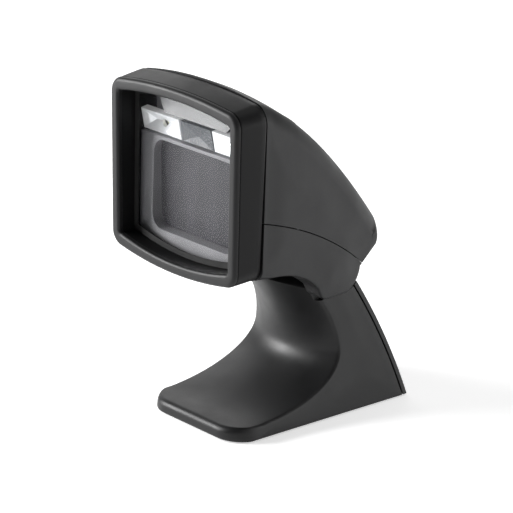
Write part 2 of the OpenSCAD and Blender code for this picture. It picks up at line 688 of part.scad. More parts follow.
// The space that the head's ears sweep beside the stand, from the lowest tilt to the highest.
module ear_recess() {
    arm = ear_front - pivot;
    mirrored() {
        bar_x(pivot, ear_r + ear_clearance, knuckle_half_w, 40);
        for (a = [tilt_down : 5 : tilt_up], share = [0.33, 0.67, 1])
            bar_x(pivot + share * [arm[0] * cos(a) + arm[1] * sin(a), arm[1] * cos(a) - arm[0] * sin(a)],
                  ear_r + (ear_front_r - ear_r) * share + ear_clearance, knuckle_half_w, 40);
    }
}
module stand_body() {
    color("#404041") difference() {
        layered(reversed(stand_outline(rear_cover_t + cover_gap)), stand_side);
        ear_recess();
        bar_x(pivot, sleeve_r, -40, 40);
        foot_pocket();
        trunk_pocket();
        at_base_screws() cylinder(r = base_screw_r, h = base_screw_top, $fn = 32);
        at_cover_screws() translate([0, 0, -cover_screw_l]) cylinder(r = cover_screw_r, h = 8, $fn = 32);
    }
}
pocket_w = 42;
trunk_w = 34;
foot_roof = foot_h - 1.8;
plate_top = foot_low + 1.2;
pocket_front = foot_front + 5;
pocket_back = heel_y - 5;
module foot_pocket() {
    box([-pocket_w / 2, pocket_front, -1], [pocket_w / 2, pocket_back, foot_roof]);
}
module trunk_pocket() {
    along_x([[25, foot_roof - 1], [60, foot_roof - 1], [60, 46], [24, 46], [21.5, 36], [22, 26]], trunk_w);
}
module rear_cover() {
    color("#3a3a3b") difference() {
        along_x(concat([for (i = [0 : 10]) heel(i / 10, 0)],
                       [for (i = [10 : -1 : 0]) heel(i / 10, rear_cover_t)]), 80);
        mirrored() translate([stand_half_w, 0, 0]) rotate([0, -stand_side_lean, 0])
            rotate([0, 0, -stand_flare]) box([0, -100, -20], [50, 100, 120]);
        ear_recess();
        at_cover_screws() {
            translate([0, 0, -4]) cylinder(r = cover_screw_r, h = 6, $fn = 32);
            translate([0, 0, -cover_head_t]) cylinder(r = cover_head_r, h = 6, $fn = 32);
        }
    }
}
// Screws of the rear cover, along the cover's own normals.
cover_screw_r = 1.1;
cover_head_r = 2.1;
cover_head_t = 1;
cover_screw_l = 7;
module at_cover_screws() {
    for (t = [0.25, 0.75]) let (n = heel_normal(t), p = heel(t, 0)) mirrored()
        translate([trunk_w / 2 + 2.6, p[0], p[1]]) rotate([atan2(-n[0], n[1]), 0, 0]) children();
}
module cover_screws() {
    color("#9b9ea2") at_cover_screws() {
        translate([0, 0, -cover_screw_l])
            cylinder(r = cover_screw_r, h = cover_screw_l - cover_head_t, $fn = 32);
        translate([0, 0, -cover_head_t]) cylinder(r = cover_head_r, h = cover_head_t - 0.2, $fn = 32);
    }
}
weight_top = foot_roof - 0.1;
weight_front = pocket_front + 1;
weight_back = pocket_back - 1;
counter_hole_r = 1.65;
counter_hole_y = [-18, 22];
base_screw_r = 1.5;
base_head_r = 2.7;
base_screw_top = foot_h - 1;
module at_base_screws() {
    for (y = [-29, 38]) mirrored() translate([15.5, y, 0]) children();
}
module at_counter_holes() {
    for (y = counter_hole_y) translate([0, y, 0]) children();
}
module base_weight() {
    color("#7d8083") difference() {
        union() {
            box([-pocket_w / 2 + 1, weight_front, plate_top], [pocket_w / 2 - 1, weight_back, weight_top]);
            along_x([[26.5, weight_top - 1], [43, weight_top - 1], [39.5, 17], [26.5, 17]], trunk_w - 4);
        }
        at_base_screws() translate([0, 0, -1]) cylinder(r = base_screw_r + 0.3, h = 9, $fn = 32);
        at_counter_holes() translate([0, 0, -1]) cylinder(r = counter_hole_r, h = 9, $fn = 48);
    }
}
pad_r = 4;
pad_deep = 0.4;
module at_pads() {
    for (y = [-20, 29]) mirrored() translate([15.5, y, 0]) children();
}
module base_plate() {
    color("#2c2c2d") difference() {
        box([-pocket_w / 2 + 0.2, pocket_front + 0.2, foot_low],
            [pocket_w / 2 - 0.2, pocket_back - 0.2, plate_top]);
        at_pads() cylinder(r = pad_r, h = foot_low + pad_deep, $fn = 48);
        at_base_screws() {
            translate([0, 0, -1]) cylinder(r = base_screw_r, h = 9, $fn = 32);
            cylinder(r = base_head_r, h = foot_low + 0.7, $fn = 32);
        }
        at_counter_holes() translate([0, 0, -1]) cylinder(r = 2.2, h = 9, $fn = 48);
    }
}
module foot_pads() {
    color("#1b1b1b") at_pads() cylinder(r = pad_r, h = foot_low + pad_deep, $fn = 48);
}
module base_screws() {
    color("#9b9ea2") at_base_screws() {
        translate([0, 0, foot_low + 0.1]) cylinder(r = base_head_r - 0.2, h = 0.6, $fn = 32);
        translate([0, 0, foot_low + 0.6])
            cylinder(r = base_screw_r, h = base_screw_top - foot_low - 0.6, $fn = 32);
    }
}
module housing_screws() {
    color("#9b9ea2") at_screws() {
        cylinder(r = screw_r, h = screw_l, $fn = 32);
        translate([0, 0, -1.6]) cylinder(r = screw_head_r - 0.2, h = 1.6, $fn = 32);
    }
}

front_rim();
hood_shell();
window_pane();
window_gasket();
optics_frame();
imager_cover();
reflector_left();
reflector_right();
centre_prism();
light_panel();
led_board();
illumination_leds();
lens_barrel();
lens_holder();
image_sensor();
camera_board();
upper_housing();
lower_housing();
inner_chassis();
main_board();
board_chips();
board_screws();
flex_cable();
sounder();
trigger_button();
button_switch();
button_board();
indicator_lens();
interface_jack();
housing_screws();
tilt_axle();
ear_bush_left();
ear_bush_right();
friction_sleeve_left();
friction_sleeve_right();
spring_washers();
stand_body();
rear_cover();
base_weight();
base_plate();
foot_pads();
base_screws();
cover_screws();
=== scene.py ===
"""Looks of a hands-free barcode scanner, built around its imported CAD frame.

Shapes are worked out in millimetres in the CAD's frame, and become metres where a mesh is made.
"""

import json
import math

import bmesh
import bpy
import numpy as np
from mathutils import Matrix, Vector
from mathutils.geometry import delaunay_2d_cdt


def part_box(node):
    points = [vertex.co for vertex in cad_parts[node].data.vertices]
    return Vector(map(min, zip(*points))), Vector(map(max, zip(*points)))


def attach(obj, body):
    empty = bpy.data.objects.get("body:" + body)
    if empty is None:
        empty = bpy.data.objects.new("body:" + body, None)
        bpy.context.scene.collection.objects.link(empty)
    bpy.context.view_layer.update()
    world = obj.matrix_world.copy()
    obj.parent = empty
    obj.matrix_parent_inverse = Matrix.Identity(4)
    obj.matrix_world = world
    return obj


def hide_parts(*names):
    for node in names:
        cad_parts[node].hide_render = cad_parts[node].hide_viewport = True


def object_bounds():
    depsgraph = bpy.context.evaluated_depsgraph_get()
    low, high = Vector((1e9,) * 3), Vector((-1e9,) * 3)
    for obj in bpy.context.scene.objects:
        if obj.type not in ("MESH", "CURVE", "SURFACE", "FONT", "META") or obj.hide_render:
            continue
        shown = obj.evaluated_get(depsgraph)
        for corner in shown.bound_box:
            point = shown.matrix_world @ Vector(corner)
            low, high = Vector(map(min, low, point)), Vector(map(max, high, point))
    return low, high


MM = 0.001
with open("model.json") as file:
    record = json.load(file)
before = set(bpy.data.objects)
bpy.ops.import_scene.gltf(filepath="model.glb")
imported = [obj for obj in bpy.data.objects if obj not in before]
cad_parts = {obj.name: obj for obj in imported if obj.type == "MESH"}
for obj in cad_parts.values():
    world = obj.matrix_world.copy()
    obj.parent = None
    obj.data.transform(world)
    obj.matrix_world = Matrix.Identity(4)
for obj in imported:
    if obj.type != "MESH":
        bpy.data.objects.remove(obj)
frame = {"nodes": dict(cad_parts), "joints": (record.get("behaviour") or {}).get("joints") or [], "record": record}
cad_low, cad_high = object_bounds()
tilt_joint = next(j for j in frame["joints"] if j["name"] == "head_tilt")


def node_box(name):
    """Lowest and highest corner of a CAD node, in millimetres."""
    low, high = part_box(name)
    return np.array(low) / MM, np.array(high) / MM


def tan_deg(angle):
    return math.tan(math.radians(angle))


# ---------- Camera, light and floor ----------
# The camera stands far off, to the right of the front and a little above; angles are in degrees,
# the distance in metres and the lens in millimetres.
CAMERA_AZIMUTH = 49.4
CAMERA_ELEVATION = 19.35
CAMERA_AIM = Vector((23.2, -26.4, 76.7)) * MM
CAMERA_DISTANCE = 1.098
CAMERA_LENS = 193.57
WORLD_LIGHT = 0.12
# The floor's own light grows with distance, so that it stays white under a low camera.
FLOOR_REACH = 6.0
GLOW_NEAR = 0.5
GLOW_FAR = 1.0
GLOW_STARTS = 0.6
GLOW_ENDS = 2.0


def make_camera():
    turn, rise = math.radians(CAMERA_AZIMUTH), math.radians(CAMERA_ELEVATION)
    back = Vector((math.sin(turn) * math.cos(rise), -math.cos(turn) * math.cos(rise), math.sin(rise)))
    data = bpy.data.cameras.new("camera")
    data.lens = CAMERA_LENS
    data.clip_start = 0.05
    camera = bpy.data.objects.new("camera", data)
    camera.location = CAMERA_AIM + back * CAMERA_DISTANCE
    camera.rotation_mode = "QUATERNION"
    camera.rotation_quaternion = (-back).to_track_quat("-Z", "Y")
    bpy.context.scene.collection.objects.link(camera)
    bpy.context.scene.camera = camera


def softbox(name, towards, distance, size, power):
    """An area light some metres from the object's middle, facing it: its size is in metres too."""
    data = bpy.data.lights.new(name, "AREA")
    data.shape = "RECTANGLE"
    data.size, data.size_y = size
    data.energy = power
    light = bpy.data.objects.new(name, data)
    middle = (cad_low + cad_high) / 2
    direction = Vector(towards).normalized()
    light.location = middle + direction * distance
    light.rotation_mode = "QUATERNION"
    light.rotation_quaternion = direction.to_track_quat("Z", "Y")
    bpy.context.scene.collection.objects.link(light)


def make_lights():
    softbox("key", (-0.7, -0.66, 0.3), 1.1, (0.5, 0.6), 21)
    softbox("overhead", (0.0, 0.3, 1.0), 1.5, (1.0, 1.0), 4)
    softbox("front_fill", (1.0, -0.3, 0.45), 1.8, (1.0, 0.8), 1.5)
    softbox("rear_rim", (0.75, 1.0, 0.55), 1.2, (0.4, 0.8), 2.5)
    softbox("right_low", (0.82, 0.57, 0.08), 1.6, (1.2, 0.5), 7)
    softbox("left_back", (-0.85, 0.45, 0.38), 1.6, (1.3, 0.9), 6)
    world = bpy.data.worlds.new("studio")
    world.use_nodes = True
    background = world.node_tree.nodes["Background"]
    background.inputs["Color"].default_value = (1, 1, 1, 1)
    background.inputs["Strength"].default_value = WORLD_LIGHT
    bpy.context.scene.world = world
    bpy.context.scene.view_settings.view_transform = "Standard"


def make_floor():
    mesh = bpy.data.meshes.new("floor")
    corners = [(x * FLOOR_REACH, y * FLOOR_REACH, 0) for x, y in ((-1, -1), (1, -1), (1, 1), (-1, 1))]
    mesh.from_pydata(corners, [], [(0, 1, 2, 3)])
    floor = bpy.data.objects.new("floor", mesh)
    bpy.context.scene.collection.objects.link(floor)
    mat, tree, bsdf = new_material("floor_paper", Base_Color=(0.9, 0.9, 0.9, 1), Roughness=0.9,
                                   Emission_Color=(1, 1, 1, 1))
    where = add_node(tree, "ShaderNodeTexCoord").outputs["Object"]
    far = add_node(tree, "ShaderNodeVectorMath", [(0, where)], operation="LENGTH").outputs["Value"]
    glow = ranged(tree, far, GLOW_NEAR, GLOW_FAR, GLOW_STARTS, GLOW_ENDS)
    tree.links.new(glow, bsdf.inputs["Emission Strength"])
    mesh.materials.append(mat)


# ---------- Materials ----------
def srgb(hex_colour):
    """Linear RGBA of a #rrggbb colour."""
    parts = [int(hex_colour[i:i + 2], 16) / 255 for i in (1, 3, 5)]
    return [p / 12.92 if p <= 0.04045 else ((p + 0.055) / 1.055) ** 2.4 for p in parts] + [1]


def scaled(colour, share):
    """A colour made darker or paler."""
    return [min(c * share, 1) for c in colour[:3]] + [1]


def add_node(tree, kind, inputs=(), **settings):
    """A new node: inputs are (socket, value or another node's output) pairs."""
    made = tree.nodes.new(kind)
    for name, value in settings.items():
        setattr(made, name, value)
    for socket, value in inputs:
        if isinstance(value, bpy.types.NodeSocket):
            tree.links.new(value, made.inputs[socket])
        else:
            made.inputs[socket].default_value = value
    return made


def noise(tree, size, detail=2.0, stretch=(1, 1, 1)):
    """Noise whose features are about size millimetres wide, in the piece's own coordinates."""
    where = add_node(tree, "ShaderNodeTexCoord").outputs["Object"]
    mapped = add_node(tree, "ShaderNodeMapping", [("Vector", where), ("Scale", stretch)]).outputs[0]
    made = add_node(tree, "ShaderNodeTexNoise",
                    [("Vector", mapped), ("Scale", 1 / (size * MM)), ("Detail", detail)])
    return made.outputs["Fac"]


def ranged(tree, value, low, high, from_low=0.3, from_high=0.7):
    """A value spread over low to high, and held there outside its own range."""
    return add_node(tree, "ShaderNodeMapRange",
                    [("Value", value), ("From Min", from_low), ("From Max", from_high),
                     ("To Min", low), ("To Max", high)]).outputs[0]


def mixed(tree, factor, low, high):
    """A colour that goes from low to high with a factor."""
    made = add_node(tree, "ShaderNodeMix", data_type="RGBA")
    made.inputs[0].default_value = 0
    tree.links.new(factor, made.inputs[0])
    for index, value in ((6, low), (7, high)):
        if isinstance(value, bpy.types.NodeSocket):
            tree.links.new(value, made.inputs[index])
        else:
            made.inputs[index].default_value = value
    return made.outputs[2]


def new_material(name, **fixed):
    """A new material, with the sockets that are the same all over set on its shader."""
    mat = bpy.data.materials.new(name)
    mat.use_nodes = True
    bsdf = mat.node_tree.nodes["Principled BSDF"]
    for socket, value in fixed.items():
        bsdf.inputs[socket.replace("_", " ")].default_value = value
    return mat, mat.node_tree, bsdf


# Moulded plastic: feature sizes in millimetres, and how much each feature shows.
MOTTLE_SIZE = 14
MOTTLE = 0.07
SPECK_SIZE = 0.8
SPECK_SHARE = 0.25
SPECK_PALER = 1.9
# The edges' rounding radius, and the painted highlight along them: its share and how much paler it makes the
# colour.
EDGE_R = 0.3
EDGE_HIGHLIGHT = 0.5
EDGE_HIGHLIGHT_PALER = 2.6
GRAIN_SIZE = 0.3
GRAIN_DEPTH = 0.02


def moulded(name, colour, roughness, gloss=0.4, grain=0.5):
    """Moulded plastic: spark-eroded grain, faint mottle and dust specks, and softened edges whose colour is paled
    as a painted highlight.
    """
    mat, tree, bsdf = new_material(name, IOR=1.5, Specular_IOR_Level=gloss)
    base = srgb(colour)
    broad = noise(tree, MOTTLE_SIZE, 4)
    tone = mixed(tree, ranged(tree, broad, 0, 1), scaled(base, 1 - MOTTLE), scaled(base, 1 + MOTTLE))
    speck = ranged(tree, noise(tree, SPECK_SIZE, 2), 0, SPECK_SHARE, 0.68, 0.8)
    tone = mixed(tree, speck, tone, scaled(base, SPECK_PALER))
    rounded = add_node(tree, "ShaderNodeBevel", [("Radius", EDGE_R * MM)], samples=4).outputs[0]
    flat = add_node(tree, "ShaderNodeNewGeometry").outputs["Normal"]
    along = add_node(tree, "ShaderNodeVectorMath", [(0, rounded), (1, flat)], operation="DOT_PRODUCT")
    # Painted highlight: the colour is paled along the rounded edges.
    edge_highlight = ranged(tree, along.outputs["Value"], EDGE_HIGHLIGHT, 0, 0.75, 0.99)
    tone = mixed(tree, edge_highlight, tone, scaled(base, EDGE_HIGHLIGHT_PALER))
    tree.links.new(tone, bsdf.inputs["Base Color"])
    fine = noise(tree, GRAIN_SIZE, 2)
    rough = add_node(tree, "ShaderNodeMath",
                     [(0, ranged(tree, broad, roughness - 0.04, roughness + 0.05)),
                      (1, ranged(tree, fine, -0.03, 0.03))], operation="ADD")
    tree.links.new(rough.outputs[0], bsdf.inputs["Roughness"])
    bump = add_node(tree, "ShaderNodeBump",
                    [("Strength", grain), ("Distance", GRAIN_DEPTH * MM), ("Height", fine),
                     ("Normal", rounded)])
    tree.links.new(bump.outputs[0], bsdf.inputs["Normal"])
    return mat


# Each moulded plastic: its colour, roughness, gloss and depth of grain.
PLASTICS = {
    "rim_plastic": ("#1a1a1b", 0.42, 0.23),
    "hood_plastic": ("#0e0e0f", 0.45, 0.18),
    "housing_plastic": ("#171718", 0.42, 0.23),
    "stand_plastic": ("#121213", 0.43, 0.33, 0.3),
    "cover_plastic": ("#1b1b1c", 0.42, 0.35),
    "optics_grey": ("#828285", 0.5, 0.4, 0.25),
    "chassis_plastic": ("#343436", 0.5),
    "sounder_black": ("#202021", 0.5),
    "button_plastic": ("#222223", 0.4, 0.35),
    "switch_grey": ("#8d9094", 0.45),
    "jack_black": ("#161617", 0.4),
    "base_plastic": ("#2c2c2d", 0.55, 0.4, 0.8),
    "sleeve_plastic": ("#d8d3c4", 0.4),
    "lens_black": ("#1c1c1e", 0.3),
    "chip_black": ("#1b1b1c", 0.45),
}


def rubber(name, colour):
    """Matt rubber with a coarse grain and dusty hollows."""
    mat, tree, bsdf = new_material(name, IOR=1.45)
    dust = ranged(tree, noise(tree, 5, 4), 0, 1, 0.35, 0.75)
    tree.links.new(mixed(tree, dust, srgb(colour), scaled(srgb(colour), 2.0)), bsdf.inputs["Base Color"])
    tree.links.new(ranged(tree, dust, 0.75, 0.92, 0, 1), bsdf.inputs["Roughness"])
    bump = add_node(tree, "ShaderNodeBump",
                    [("Strength", 0.6), ("Distance", 0.03 * MM), ("Height", noise(tree, 0.25, 3))])
    tree.links.new(bump.outputs[0], bsdf.inputs["Normal"])
    return mat


def metal(name, colour, roughness, brush=(1, 1, 12)):
    """Plated or brushed metal: fine drawn streaks and stain."""
    mat, tree, bsdf = new_material(name, Metallic=1.0)
    streak = noise(tree, 0.8, 3, brush)
    stain = noise(tree, 6, 3)
    tone = mixed(tree, ranged(tree, stain, 0, 1), scaled(srgb(colour), 0.82), srgb(colour))
    tree.links.new(tone, bsdf.inputs["Base Color"])
    tree.links.new(ranged(tree, streak, roughness - 0.08, roughness + 0.12), bsdf.inputs["Roughness"])
    bump = add_node(tree, "ShaderNodeBump",
                    [("Strength", 0.25), ("Distance", 0.01 * MM), ("Height", streak)])
    tree.links.new(bump.outputs[0], bsdf.inputs["Normal"])
    return mat


def circuit_board():
    """Green solder mask over copper tracks that show as slightly paler, raised lines."""
    mat, tree, bsdf = new_material("circuit_board", Roughness=0.32, IOR=1.5)
    where = add_node(tree, "ShaderNodeTexCoord").outputs["Object"]
    tracks = add_node(tree, "ShaderNodeTexBrick",
                      [("Vector", where), ("Scale", 240.0), ("Mortar Size", 0.08),
                       ("Color1", (1, 1, 1, 1)), ("Color2", (0.9, 0.9, 0.9, 1)), ("Mortar", (0, 0, 0, 1))])
    mask = mixed(tree, tracks.outputs["Fac"], srgb("#2b5838"), srgb("#3f7a4d"))
    mask = mixed(tree, ranged(tree, noise(tree, 4, 4), 0, 0.4), mask, srgb("#1d4329"))
    tree.links.new(mask, bsdf.inputs["Base Color"])
    bump = add_node(tree, "ShaderNodeBump",
                    [("Strength", 0.5), ("Distance", 0.04 * MM), ("Height", tracks.outputs["Fac"])])
    tree.links.new(bump.outputs[0], bsdf.inputs["Normal"])
    return mat


# Slant in degrees and width in millimetres of the painted reflection's slanting banding on the imager cover.
REFLECTION_BAND_SLANT = 28
REFLECTION_BAND_SIZE = 9


def tinted_cover_with_painted_reflection():
    """The imager's tinted window: a grey that darkens across its width, and soft slanting banding, both a painted
    reflection of the room in the tinted glass.
    """
    mat, tree, bsdf = new_material("imager_tint", IOR=1.5, Specular_IOR_Level=0.35)
    where = add_node(tree, "ShaderNodeTexCoord").outputs["Object"]
    parts = add_node(tree, "ShaderNodeSeparateXYZ", [("Vector", where)])
    low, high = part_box("imager_cover")
    # Painted reflection: the grey darkens from one side of the cover to the other.
    painted_reflection_fade = ranged(tree, parts.outputs["X"], 0, 1, low.x, high.x)
    tone = mixed(tree, painted_reflection_fade, srgb("#444348"), srgb("#343439"))
    # Painted reflection: soft, darker slanting banding over the grey.
    slanted = add_node(tree, "ShaderNodeMapping",
                       [("Vector", where), ("Rotation", (0, math.radians(REFLECTION_BAND_SLANT), 0)),
                        ("Scale", (1, 0, 0.12))])
    painted_reflection_bands = add_node(tree, "ShaderNodeTexNoise",
                     [("Vector", slanted.outputs[0]), ("Scale", 1 / (REFLECTION_BAND_SIZE * MM)), ("Detail", 1.0)])
    tone = mixed(tree, ranged(tree, painted_reflection_bands.outputs["Fac"], 0, 0.35, 0.35, 0.65), tone, srgb("#2c2c30"))
    tree.links.new(tone, bsdf.inputs["Base Color"])
    tree.links.new(ranged(tree, noise(tree, 3, 3), 0.32, 0.4), bsdf.inputs["Roughness"])
    return mat


def mirror_finish_with_painted_glow():
    """Bright vacuum-plated plastic of the reflectors, with a faint orange peel and a faint painted glow."""
    # Painted light: the emission makes the reflectors glow a little all over, though they are no lamps.
    mat, tree, bsdf = new_material("reflector_white", Metallic=0.3, IOR=1.6, Emission_Color=(1, 1, 1, 1),
                                   Emission_Strength=0.16)
    tone = mixed(tree, ranged(tree, noise(tree, 2.5, 3), 0, 1), srgb("#f4f6f8"), srgb("#dfe4e8"))
    tree.links.new(tone, bsdf.inputs["Base Color"])
    tree.links.new(ranged(tree, noise(tree, 0.6, 2), 0.05, 0.12), bsdf.inputs["Roughness"])
    bump = add_node(tree, "ShaderNodeBump",
                    [("Strength", 0.06), ("Distance", 0.03 * MM), ("Height", noise(tree, 1.0, 2))])
    tree.links.new(bump.outputs[0], bsdf.inputs["Normal"])
    return mat


def smooth_plastic(name, colour, roughness, **fixed):
    """Clear-moulded gloss plastic: a gentle change of tone and of polish."""
    mat, tree, bsdf = new_material(name, IOR=1.5, **fixed)
    tone = mixed(tree, ranged(tree, noise(tree, 5, 3), 0, 1), scaled(srgb(colour), 0.88), srgb(colour))
    tree.links.new(tone, bsdf.inputs["Base Color"])
    tree.links.new(ranged(tree, noise(tree, 0.7, 2), roughness, roughness + 0.08), bsdf.inputs["Roughness"])
    return mat


def window_glass():
    """A thin clear pane: mostly see-through, with a faint grey veil of dust."""
    mat, tree, bsdf = new_material("window_glass", IOR=1.5, Alpha=0.06)
    veil = mixed(tree, ranged(tree, noise(tree, 9, 4), 0, 1), srgb("#3c3c40"), srgb("#444448"))
    tree.links.new(veil, bsdf.inputs["Base Color"])
    tree.links.new(ranged(tree, noise(tree, 2, 3), 0.03, 0.07), bsdf.inputs["Roughness"])
    return mat


def make_materials():
    made = {name: moulded(name, *look) for name, look in PLASTICS.items()}
    made["window_glass"] = window_glass()
    made["gasket_rubber"] = rubber("gasket_rubber", "#141414")
    made["pad_rubber"] = rubber("pad_rubber", "#1b1b1b")
    made["imager_tint"] = tinted_cover_with_painted_reflection()
    made["reflector_white"] = mirror_finish_with_painted_glow()
    made["prism_grey"] = smooth_plastic("prism_grey", "#606367", 0.22)
    made["diffuser"] = smooth_plastic("diffuser", "#34373a", 0.35)
    made["circuit_board"] = circuit_board()
    made["led"] = smooth_plastic("led", "#f2ebb0", 0.12, Coat_Weight=0.5)
    made["sensor"] = smooth_plastic("sensor", "#5a6472", 0.08)
    made["flex_amber"] = smooth_plastic("flex_amber", "#c98a3a", 0.3)
    made["indicator_clear"] = smooth_plastic("indicator_clear", "#d8e6dc", 0.25)
    made["steel"] = metal("steel", "#b4b7bb", 0.3)
    made["bronze"] = metal("bronze", "#b98d55", 0.38)
    made["weight_iron"] = metal("weight_iron", "#8a8d90", 0.5, (1, 1, 1))
    made["gold"] = metal("gold", "#d8b25a", 0.25)
    return made


# ---------- Curves and outlines ----------
def bend(a, c, b, t):
    """Points of a quadratic curve that leaves a towards c and reaches b, at each t."""
    a, c, b, t = np.asarray(a), np.asarray(c), np.asarray(b), np.asarray(t)[..., None]
    return (1 - t) ** 2 * a + 2 * t * (1 - t) * c + t * t * b


def arc(centre, r, start, end, n):
    """Points of an arc from one angle to another, in degrees."""
    a = np.radians(np.linspace(start, end, n + 1))
    return np.asarray(centre) + r * np.column_stack([np.cos(a), np.sin(a)])


# The hood's outline in millimetres and degrees, as the CAD has it. The rim's box gives its width and
# height.
rim_low, rim_high = node_box("front_rim")
ARCH_TOP = 3.2
ARCH_BOTTOM = 4.3
CORNER_R = 6.5
FACE_W_TOP = rim_high[0] - rim_low[0]
FACE_W_BOTTOM = FACE_W_TOP - 1.2
FACE_TOP = rim_high[2] - ARCH_TOP
FACE_BOTTOM = rim_low[2] + ARCH_BOTTOM
MID_Z = (FACE_TOP + FACE_BOTTOM) / 2
FACE_Y = -50.8
FACE_LEAN = 1.0
BACK_LEAN = 2.6
HOOD_DEPTH = 13.8
HOOD_FLARE = 1.4
HOOD_WALL = 4.7
LOW_TUCK = 0.5
RIM_DEPTH = 2.25


def arch_half(w, z, sag, r, side, n):
    """The right half of one arched edge with its corner: side is 1 for the top and -1 for the bottom."""
    big_r = (w * w + sag * sag) / (2 * sag)
    cz = z + side * (sag - big_r)
    tangent = math.degrees(math.asin((w - r) / (big_r - r)))
    kz = cz + side * math.sqrt((big_r - r) ** 2 - (w - r) ** 2)
    flat = arc((0, 0), big_r, 90, 90 - tangent, n)[:-1]
    corner = arc((0, 0), r, 90 - tangent, 0, n)
    return np.vstack([flat * (1, side) + (0, cz), corner * (1, side) + (w - r, kz)])


def barrel(d, low_d, n=20):
    """The hood's whole outline in X and Z, grown outwards by d, and by low_d at its bottom edge."""
    r = max(CORNER_R + d, 1)
    top = arch_half(FACE_W_TOP / 2 + d, FACE_TOP + d, ARCH_TOP, r, 1, n)
    low = arch_half(FACE_W_BOTTOM / 2 + d, FACE_BOTTOM - low_d, ARCH_BOTTOM, r, -1, n)
    sides = np.linspace(top[-1], low[-1], 12)[1:-1]
    right = np.vstack([top, sides, low[::-1]])
    return np.vstack([right, right[-2:0:-1] * (-1, 1)])


def hood_y(z, depth):
    """Y of a point at a height, some depth behind the hood's face."""
    t = depth / HOOD_DEPTH
    return FACE_Y + depth + (z - MID_Z) * ((1 - t) * tan_deg(FACE_LEAN) + t * tan_deg(BACK_LEAN))


def hood_rings(section):
    """A ring round the hood for each [outset, depth] point of a section."""
    rings = []
    for outset, depth in section:
        flat = barrel(outset, min(outset, -outset * LOW_TUCK))
        rings.append(np.column_stack([flat[:, 0], hood_y(flat[:, 1], depth), flat[:, 1]]))
    return rings


# ---------- Meshes ----------
def new_object(name, verts, faces):
    mesh = bpy.data.meshes.new(name)
    mesh.from_pydata(np.asarray(verts, float).tolist(), [], [list(map(int, f)) for f in faces])
    made = bpy.data.objects.new(name, mesh)
    bpy.context.scene.collection.objects.link(made)
    outward(made)
    return made


def outward(obj):
    bm = bmesh.new()
    bm.from_mesh(obj.data)
    bmesh.ops.recalc_face_normals(bm, faces=bm.faces)
    bm.to_mesh(obj.data)
    bm.free()


def ring_faces(count, n, closed):
    """Quads that join count rings of n points; closed joins the last ring to the first too."""
    faces = []
    for j in range(count if closed else count - 1):
        a, b = j * n, (j + 1) % count * n
        faces += [(a + i, a + (i + 1) % n, b + (i + 1) % n, b + i) for i in range(n)]
    return faces


def hoop(name, rings):
    """Joins rings of equal length into one closed hoop."""
    return new_object(name, np.vstack(rings), ring_faces(len(rings), len(rings[0]), True))


def inside(points, outline):
    """Whether each point is inside a closed outline."""
    a, b = outline, np.roll(outline, -1, axis=0)
    y, z = points[:, None, 0], points[:, None, 1]
    spans = (a[None, :, 1] > z) != (b[None, :, 1] > z)
    with np.errstate(divide="ignore", invalid="ignore"):
        cross = (b[None, :, 0] - a[None, :, 0]) * (z - a[None, :, 1]) / (b[None, :, 1] - a[None, :, 1])
    return (spans & (y < cross + a[None, :, 0])).sum(1) % 2 == 1


def edge_distance(points, outline):
    """Distance of each point from a closed outline."""
    a, b = outline, np.roll(outline, -1, axis=0)
    v = b - a
    rel = points[:, None, :] - a[None]
    t = np.clip((rel * v[None]).sum(2) / np.maximum((v * v).sum(1), 1e-12)[None], 0, 1)
    return np.linalg.norm(rel - t[..., None] * v[None], axis=2).min(1)


CAP_STEP = 2.0
CAP_EDGE = 0.7 * CAP_STEP
BOW_REACH = 14.0


def cap(flat, bow):
    """Triangles that fill a flat outline, with a grid of inner points and how far each bows out."""
    low, high = flat.min(0), flat.max(0)
    along, up = (np.arange(low[i], high[i], CAP_STEP) for i in (0, 1))
    grid = np.stack(np.meshgrid(along, up), -1).reshape(-1, 2)
    grid = grid[inside(grid, flat)]
    far = edge_distance(grid, flat)
    grid, far = grid[far > CAP_EDGE], far[far > CAP_EDGE]
    n = len(flat)
    points = [Vector(p) for p in np.vstack([flat, grid])]
    found = delaunay_2d_cdt(points, [], [list(range(n))], 1, 1e-7)
    names = [o[0] if o else None for o in found[3]]
    if None in names:
        raise RuntimeError("a cap's outline crosses itself")
    t = np.clip(far / BOW_REACH, 0, 1)
    return grid, bow * t * t * (3 - 2 * t), [[names[i] for i in f] for f in found[2]]


# Layered solids, as the CAD has them: an outline entry is y, z, rounding, inward y and z, bulge y and z,
# and its share of the foot's corner in plan. A side is its half-width at the origin, its loss per Y
# and per Z, and the bulge's power.
FOOT_CORNER_R = 12.0
ROUND_STEPS = 18
ROUND_REACH = 12.4
CORE_STEPS = 12


def half_width(side, y, z):
    return side[0] - side[1] * y - side[2] * z


def pulled_in(q, r):
    """How far a rounding of radius r pulls a surface in, at distance q from the side."""
    return np.where(q < r, r - np.sqrt(np.maximum(r * r - np.maximum(r - q, 0) ** 2, 0)), 0)


def layer_ring(outline, side, q, share):
    """The ring of a layered solid at depth q below its side, drawn in to a share of its half-width."""
    y, z, r, inward_y, inward_z, bulge_y, bulge_z, plan = outline.T
    w = half_width(side, y, z)
    b = 1 - np.abs((w - q) * share / w) ** side[3]
    d = pulled_in(q, r)
    py = y + d * inward_y + b * bulge_y + pulled_in(q, FOOT_CORNER_R) * plan
    pz = z + d * inward_z + b * bulge_z
    return np.column_stack([(half_width(side, py, pz) - q) * share, py, pz])


